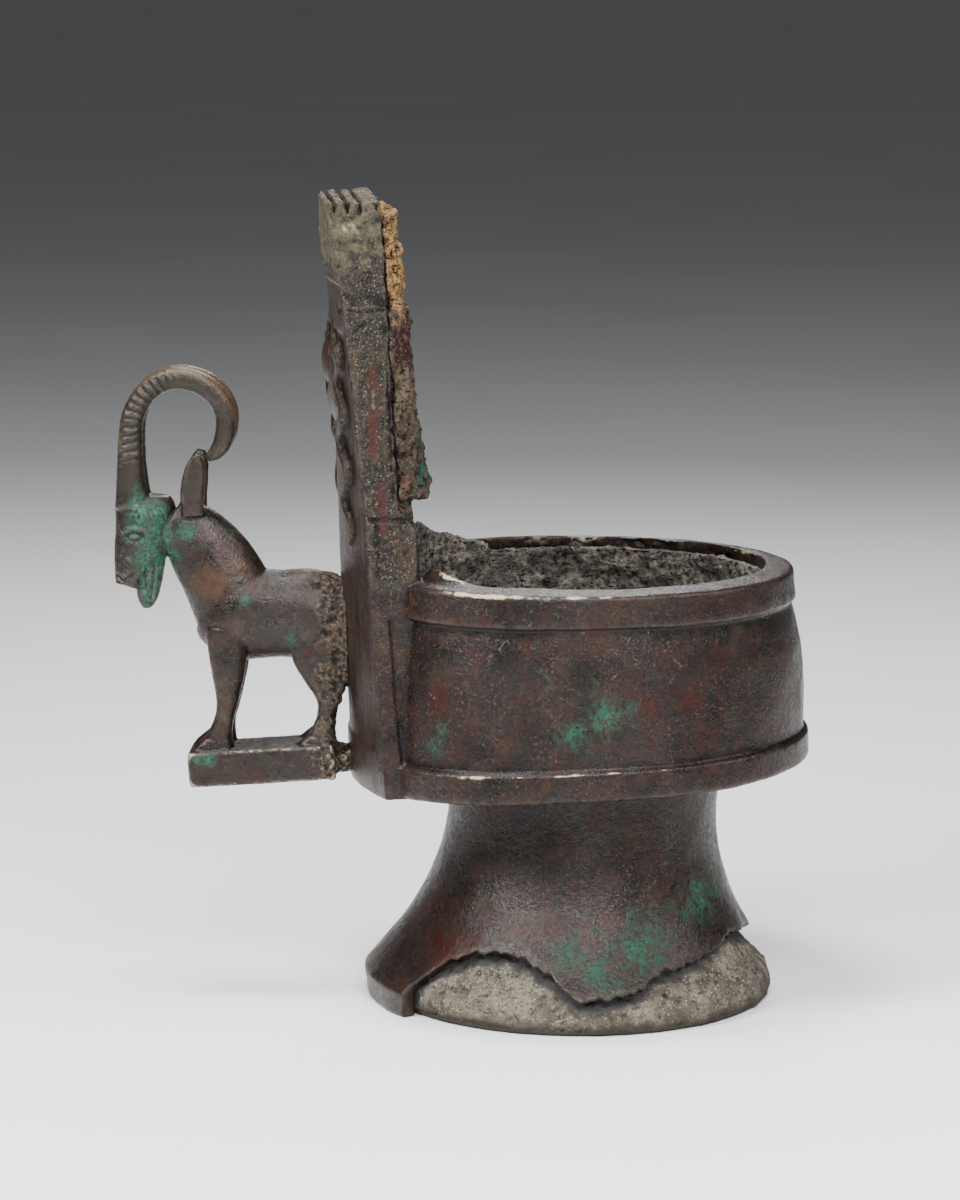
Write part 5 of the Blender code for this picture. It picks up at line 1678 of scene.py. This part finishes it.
# Colours of the clay in the foot.
CLAY = (0.088, 0.076, 0.057)
PALE_CLAY = (0.170, 0.150, 0.118)
BROWN_SAND = (0.046, 0.037, 0.027)
DARK_SAND = (0.034, 0.028, 0.022)
PALE_SAND = (0.26, 0.235, 0.19)
# Painted shadow: the clay's colour under the skin's broken edge.
SHADOWED_CLAY = (0.040, 0.039, 0.038)
# Painted shade: the clay's colour along the ground.
CLAY_SHADE_AT_GROUND = (0.042, 0.036, 0.030)


def green_layers(finish, seed):
    """Emerald corrosion that thins out over the metal, paler in its middle."""
    green = finish.patch("green", 3.5, seed, 1.5, 0.30, 0.95)
    fine = finish.stains(1.1, seed + 1, 0.34, 0.56)
    finish.layer(finish.times(green, fine), GREEN, 0.62, 0.0)
    powder = finish.patch("green", 2.2, seed + 2, 1.8, 0.75, 1.25)
    finish.layer(finish.times(powder, fine), PALE_GREEN, 0.8, 0.0)
    finish.relief(finish.times(green, fine), 0.06)


def crust_layers(finish, seed):
    """A rough grey and black crust, speckled with tan and ash grains, and with a few pale grains painted
    as glints of light.
    """
    crust = finish.patch("crust", 5.0, seed, 0.7, 0.35, 0.85)
    mottle = finish.stains(2.2, seed + 1, 0.34, 0.66)
    finish.layer(crust, finish.colours(mottle, CHARCOAL, SOOT), 0.85, 0.05)
    finish.layer(finish.times(crust, finish.stains(7, seed + 2, 0.48, 0.70, 2.0)), EARTH)
    finish.layer(finish.times(crust, finish.stains(1.0, seed + 3, 0.50, 0.72)), TAN)
    finish.layer(finish.times(crust, finish.stains(0.6, seed + 4, 0.54, 0.76)), ASH)
    # Painted glints: a few grains made bright as if catching the light.
    glint = finish.use(GRAINS, Size=0.45, Share=0.04, Seed=seed + 5)
    finish.layer(finish.times(crust, glint), GLINT)
    finish.relief(finish.times(crust, finish.stains(1.0, seed + 6, 0.3, 0.7)), 0.35)
    return crust


def cast_metal(finish, seed):
    """The mottling and fine pitting that all of the cast bronze shares."""
    finish.layer(finish.stains(26, seed, 0.36, 0.64), SLATE, 0.24)
    finish.layer(finish.stains(9, seed + 1, 0.42, 0.72), WARM_BROWN, 0.42)
    finish.layer(finish.stains(5, seed + 2, 0.48, 0.74), CUPRITE, 0.36)
    finish.layer(finish.stains(1.4, seed + 3, 0.46, 0.66), CHARCOAL, 0.45)
    specks = finish.stains(0.9, seed + 4, 0.54, 0.72)
    finish.layer(finish.times(specks, finish.stains(12, seed + 7, 0.35, 0.6)), DUST, 0.55)
    finish.relief(finish.stains(1.8, seed + 5, 0.2, 0.8), 0.10)
    finish.relief(finish.stains(0.7, seed + 6, 0.25, 0.80), 0.07)


def aged_bronze():
    """Dark brown cast bronze, mottled grey-purple and red, with green and pale worn edges, and painted
    shade in its creases.
    """
    finish = Finish("aged_bronze_patina", BROWN, 0.24, 0.25, 0.28)
    cast_metal(finish, 1)
    red = finish.patch("red", 7.0, 9, 1.6, 0.25, 1.0)
    finish.layer(red, CUPRITE, 0.34)
    finish.layer(finish.times(red, finish.stains(2.2, 10, 0.50, 0.75)), RUST)
    streaked = finish.mask("streaked")
    finish.layer(finish.times(streaked, finish.stains(1.6, 11, 0.42, 0.66, 12.0)), STREAK, 0.40)
    finish.layer(finish.times(streaked, finish.stains(2.6, 12, 0.52, 0.72, 8.0)), RED_STREAK)
    crust_layers(finish, 14)
    finish.layer(finish.patch("lime", 4.0, 21, 1.6, 0.4, 1.1), LIME, 0.85)
    finish.layer(finish.patch("run_edge", 2.0, 23, 1.6, 0.3, 0.8), RUN_EDGE, 0.6)
    finish.layer(finish.patch("run", 2.0, 22, 1.6, 0.5, 0.9), RUN, 0.8)
    green_layers(finish, 25)
    finish.layer(finish.times(finish.mask("ridge"), finish.stains(4, 29, 0.35, 0.7)), RUBBED, 0.25)
    finish.layer(finish.patch("cream", 2.5, 30, 1.0, 0.4, 0.8), CREAM, 0.5, 0.1)
    finish.layer(finish.patch("torn", 4.0, 38, 1.0, 0.3, 0.8), TORN_EDGE, 0.8, 0.0)
    # Painted shade: the colour is darkened in the creases.
    finish.shade(finish.mask("crevice"), 0.25)
    for start, end, width in CRACKS:
        crack = finish.use(HAIRLINE, Start=start, End=end, Width=width, Wander=0.005)
        finish.layer(crack, CRACK_FILL, 0.8)
        finish.relief(crack, -0.2)
    return finish.done()


def aged_bronze_ibex():
    """Warm brown cast bronze, bright green on the face, with a golden crust at the join, a painted
    highlight on the horns' top and painted shade in its creases.
    """
    finish = Finish("aged_bronze_ibex_patina", HIDE, 0.22, 0.3, 0.38)
    cast_metal(finish, 51)
    finish.layer(finish.stains(6, 59, 0.48, 0.70), OLIVE, 0.42)
    finish.layer(finish.patch("warm", 4.0, 60, 1.2, 0.3, 1.0), CHEST, 0.40)
    finish.layer(finish.times(finish.mask("horn"), finish.stains(5, 61, 0.2, 0.6)), OLIVE, 0.42)
    # Painted highlight along the horns' outer top.
    finish.layer(finish.mask("horn_rim"), HORN_HIGHLIGHT, 0.45)
    finish.layer(finish.patch("purple", 3.0, 62, 1.4, 0.3, 1.0), PURPLE, 0.32)
    crust = crust_layers(finish, 63)
    finish.layer(finish.times(crust, finish.stains(1.6, 70, 0.48, 0.62)), GOLDEN_CRUST)
    green_layers(finish, 71)
    finish.layer(finish.times(finish.mask("ridge"), finish.stains(4, 74, 0.35, 0.7)), RUBBED_HIDE, 0.25)
    finish.layer(finish.patch("cream", 2.0, 75, 1.3, 0.4, 0.9), PALE_NOSE, 0.32, 0.2)
    # Painted shade: the colour is darkened in the creases.
    finish.shade(finish.mask("crevice"), 0.20)
    return finish.done()


def dark_core_clay():
    """Burnt core, dark grey in the cup, and ochre, red and tan behind the panel, with painted shade in
    its creases.
    """
    finish = Finish("dark_core_clay_crumb", BURNT_CLAY, 0.95, 0.0, 0.2)
    finish.layer(finish.stains(9, 81, 0.36, 0.64), ASHY_CLAY)
    behind = finish.mask("behind")
    finish.layer(behind, DARK_EARTH)
    bands = (("red", CUPRITE, 83), ("tan", TAN, 84), ("ochre", OCHRE, 85), ("teal", TEAL, 86))
    for name, colour, seed in bands:
        finish.layer(finish.times(behind, finish.patch(name, 5.0, seed, 1.6, 0.30, 0.95)), colour)
    finish.layer(finish.times(behind, finish.stains(4, 87, 0.52, 0.68)), BRICK)
    finish.layer(finish.stains(1.4, 82, 0.48, 0.68), BLACK_SPECK)
    split = finish.stains(3.2, 93, 0.58, 0.66, 0.35)
    finish.layer(split, CHARCOAL)
    finish.relief(split, -0.6)
    finish.layer(finish.use(GRAINS, Size=0.9, Share=0.22, Seed=88), ASH)
    finish.layer(finish.use(GRAINS, Size=0.6, Share=0.12, Seed=89), TAN)
    # Painted shade: the colour is darkened in the creases.
    finish.shade(finish.mask("crevice"), 0.22)
    finish.relief(finish.stains(1.6, 91, 0.2, 0.8), 0.45)
    finish.relief(finish.use(GRAINS, Size=1.2, Share=0.5, Seed=92), 0.25)
    return finish.done()


def grey_core_clay():
    """Grey sandy core, paler in patches, with painted shade along the ground, under the skin's edge and
    in its creases.
    """
    finish = Finish("grey_core_clay_sand", CLAY, 0.95, 0.0, 0.2)
    finish.layer(finish.stains(11, 101, 0.38, 0.62), PALE_CLAY)
    finish.layer(finish.stains(3.5, 102, 0.48, 0.70), BROWN_SAND)
    finish.layer(finish.stains(0.9, 108, 0.52, 0.70), DARK_SAND)
    finish.layer(finish.use(GRAINS, Size=0.7, Share=0.14, Seed=104), PALE_SAND)
    # Painted shadow under the skin's broken edge.
    finish.layer(finish.patch("under_skin", 4.0, 109, 1.2, 0.3, 0.9), SHADOWED_CLAY)
    # Painted shade along the ground.
    finish.layer(finish.mask("ground"), CLAY_SHADE_AT_GROUND)
    # Painted shade: the colour is darkened in the creases.
    finish.shade(finish.mask("crevice"), 0.40)
    finish.relief(finish.stains(1.8, 106, 0.2, 0.8), 0.45)
    finish.relief(finish.stains(0.8, 107, 0.3, 0.7), 0.20)
    return finish.done()


# Studio: the boxes of light with their places, sides, powers and what they face, in metres and watts.
MIDDLE = (0, 0, 0.13)
FLOOR_IN_FRONT = (0, -0.60, 0)
SOFT_BOXES = (
    ("key_light", (-0.85, -0.50, 0.85), 0.35, 22, MIDDLE),
    ("front_light", (0.05, -0.75, 0.62), 0.5, 15, FLOOR_IN_FRONT),
    ("side_light", (0.95, -0.35, 0.75), 0.4, 8, MIDDLE),
    ("top_light", (-0.15, -0.05, 0.95), 0.22, 8, MIDDLE),
    ("back_light", (0.10, 0.85, 0.80), 0.40, 5, MIDDLE),
)
SURROUND = (0.8, 0.82, 0.85, 1.0)
SURROUND_STRENGTH = 0.09
FLOOR_PAINT = (0.88, 0.88, 0.88)
FLOOR_REACH = 40

# Camera: its place and direction in metres, and its lens and sensor height in mm.
CAMERA_PLACE = (-0.1435, -1.3928, 0.3604)
CAMERA_DIRECTION = (0.0775, 0.9844, -0.1578)
CAMERA_LENS = 123.8
SENSOR_HEIGHT = 36
FAR_CLIP = 200


def floor_paint():
    """The floor's pale paint, with a faint unevenness."""
    finish = Finish("floor_paint", FLOOR_PAINT, 0.8, 0.0)
    darker = tuple(0.97 * value for value in FLOOR_PAINT)
    finish.layer(finish.stains(400, 111, 0.4, 0.6), darker)
    return finish.done()


def lay_floor():
    """A pale floor, far wider than the view."""
    bm = bmesh.new()
    bmesh.ops.create_grid(bm, x_segments=1, y_segments=1, size=FLOOR_REACH)
    floor = make_object("floor", bm)
    floor.data.materials.append(floor_paint())


def facing(direction):
    """The turn that makes a lamp or a camera face a direction."""
    return Vector(direction).to_track_quat("-Z", "Y").to_euler()


def light_the_scene():
    """Soft boxes above, in front, at the side and behind, in a dim grey surround."""
    for name, place, size, power, aim in SOFT_BOXES:
        data = bpy.data.lights.new(name, "AREA")
        data.shape = "SQUARE"
        data.size = size
        data.energy = power
        light = bpy.data.objects.new(name, data)
        light.location = place
        light.rotation_euler = facing(Vector(aim) - Vector(place))
        bpy.context.scene.collection.objects.link(light)
    world = bpy.data.worlds.new("studio")
    world.use_nodes = True
    background = world.node_tree.nodes["Background"].inputs
    background["Color"].default_value = SURROUND
    background["Strength"].default_value = SURROUND_STRENGTH
    bpy.context.scene.world = world


def place_camera():
    """The camera at the photograph's angle."""
    data = bpy.data.cameras.new("camera")
    data.sensor_fit = "VERTICAL"
    data.sensor_height = SENSOR_HEIGHT
    data.lens = CAMERA_LENS
    data.clip_end = FAR_CLIP
    camera = bpy.data.objects.new("camera", data)
    camera.location = CAMERA_PLACE
    camera.rotation_euler = facing(CAMERA_DIRECTION)
    bpy.context.scene.collection.objects.link(camera)
    bpy.context.scene.camera = camera


def make_piece(name, shells, voxel, smoothing, work_over, mark):
    """Runs the shells into one skin, works it over, thins it out and marks where its colours are."""
    piece = run_together(name, shells(), voxel, smoothing)
    work_over(piece.data)
    thin_out(piece)
    mark(piece.data)
    return piece


def dress(piece, material, node_name):
    """Gives a finished piece its material and its place in the model."""
    piece.data.materials.clear()
    piece.data.materials.append(material)
    for polygon in piece.data.polygons:
        polygon.use_smooth = True
    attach(piece, "root")
    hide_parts(node_name)


bronze = make_piece("cast_bronze", bronze_shells, BRONZE_VOXEL, BRONZE_SOFTENING,
                    carve_bronze, mark_bronze)
dress(bronze, aged_bronze(), "bronze_body")

ibex = make_piece("cast_ibex", ibex_shells, IBEX_VOXEL, IBEX_SOFTENING, carve_ibex, mark_ibex)
dress(ibex, aged_bronze_ibex(), "ibex_handle")

upper_clay = make_piece("cup_and_panel_clay", upper_core_shells, CLAY_VOXEL, UPPER_CLAY_SOFTENING,
                        roughen_upper_core, mark_upper_core)
dress(upper_clay, dark_core_clay(), "cup_and_panel_core")

foot_clay = make_piece("foot_clay", foot_core_shells, CLAY_VOXEL, FOOT_CLAY_SOFTENING,
                       roughen_foot_core, mark_foot_core)
dress(foot_clay, grey_core_clay(), "foot_core")

lay_floor()
light_the_scene()
place_camera()
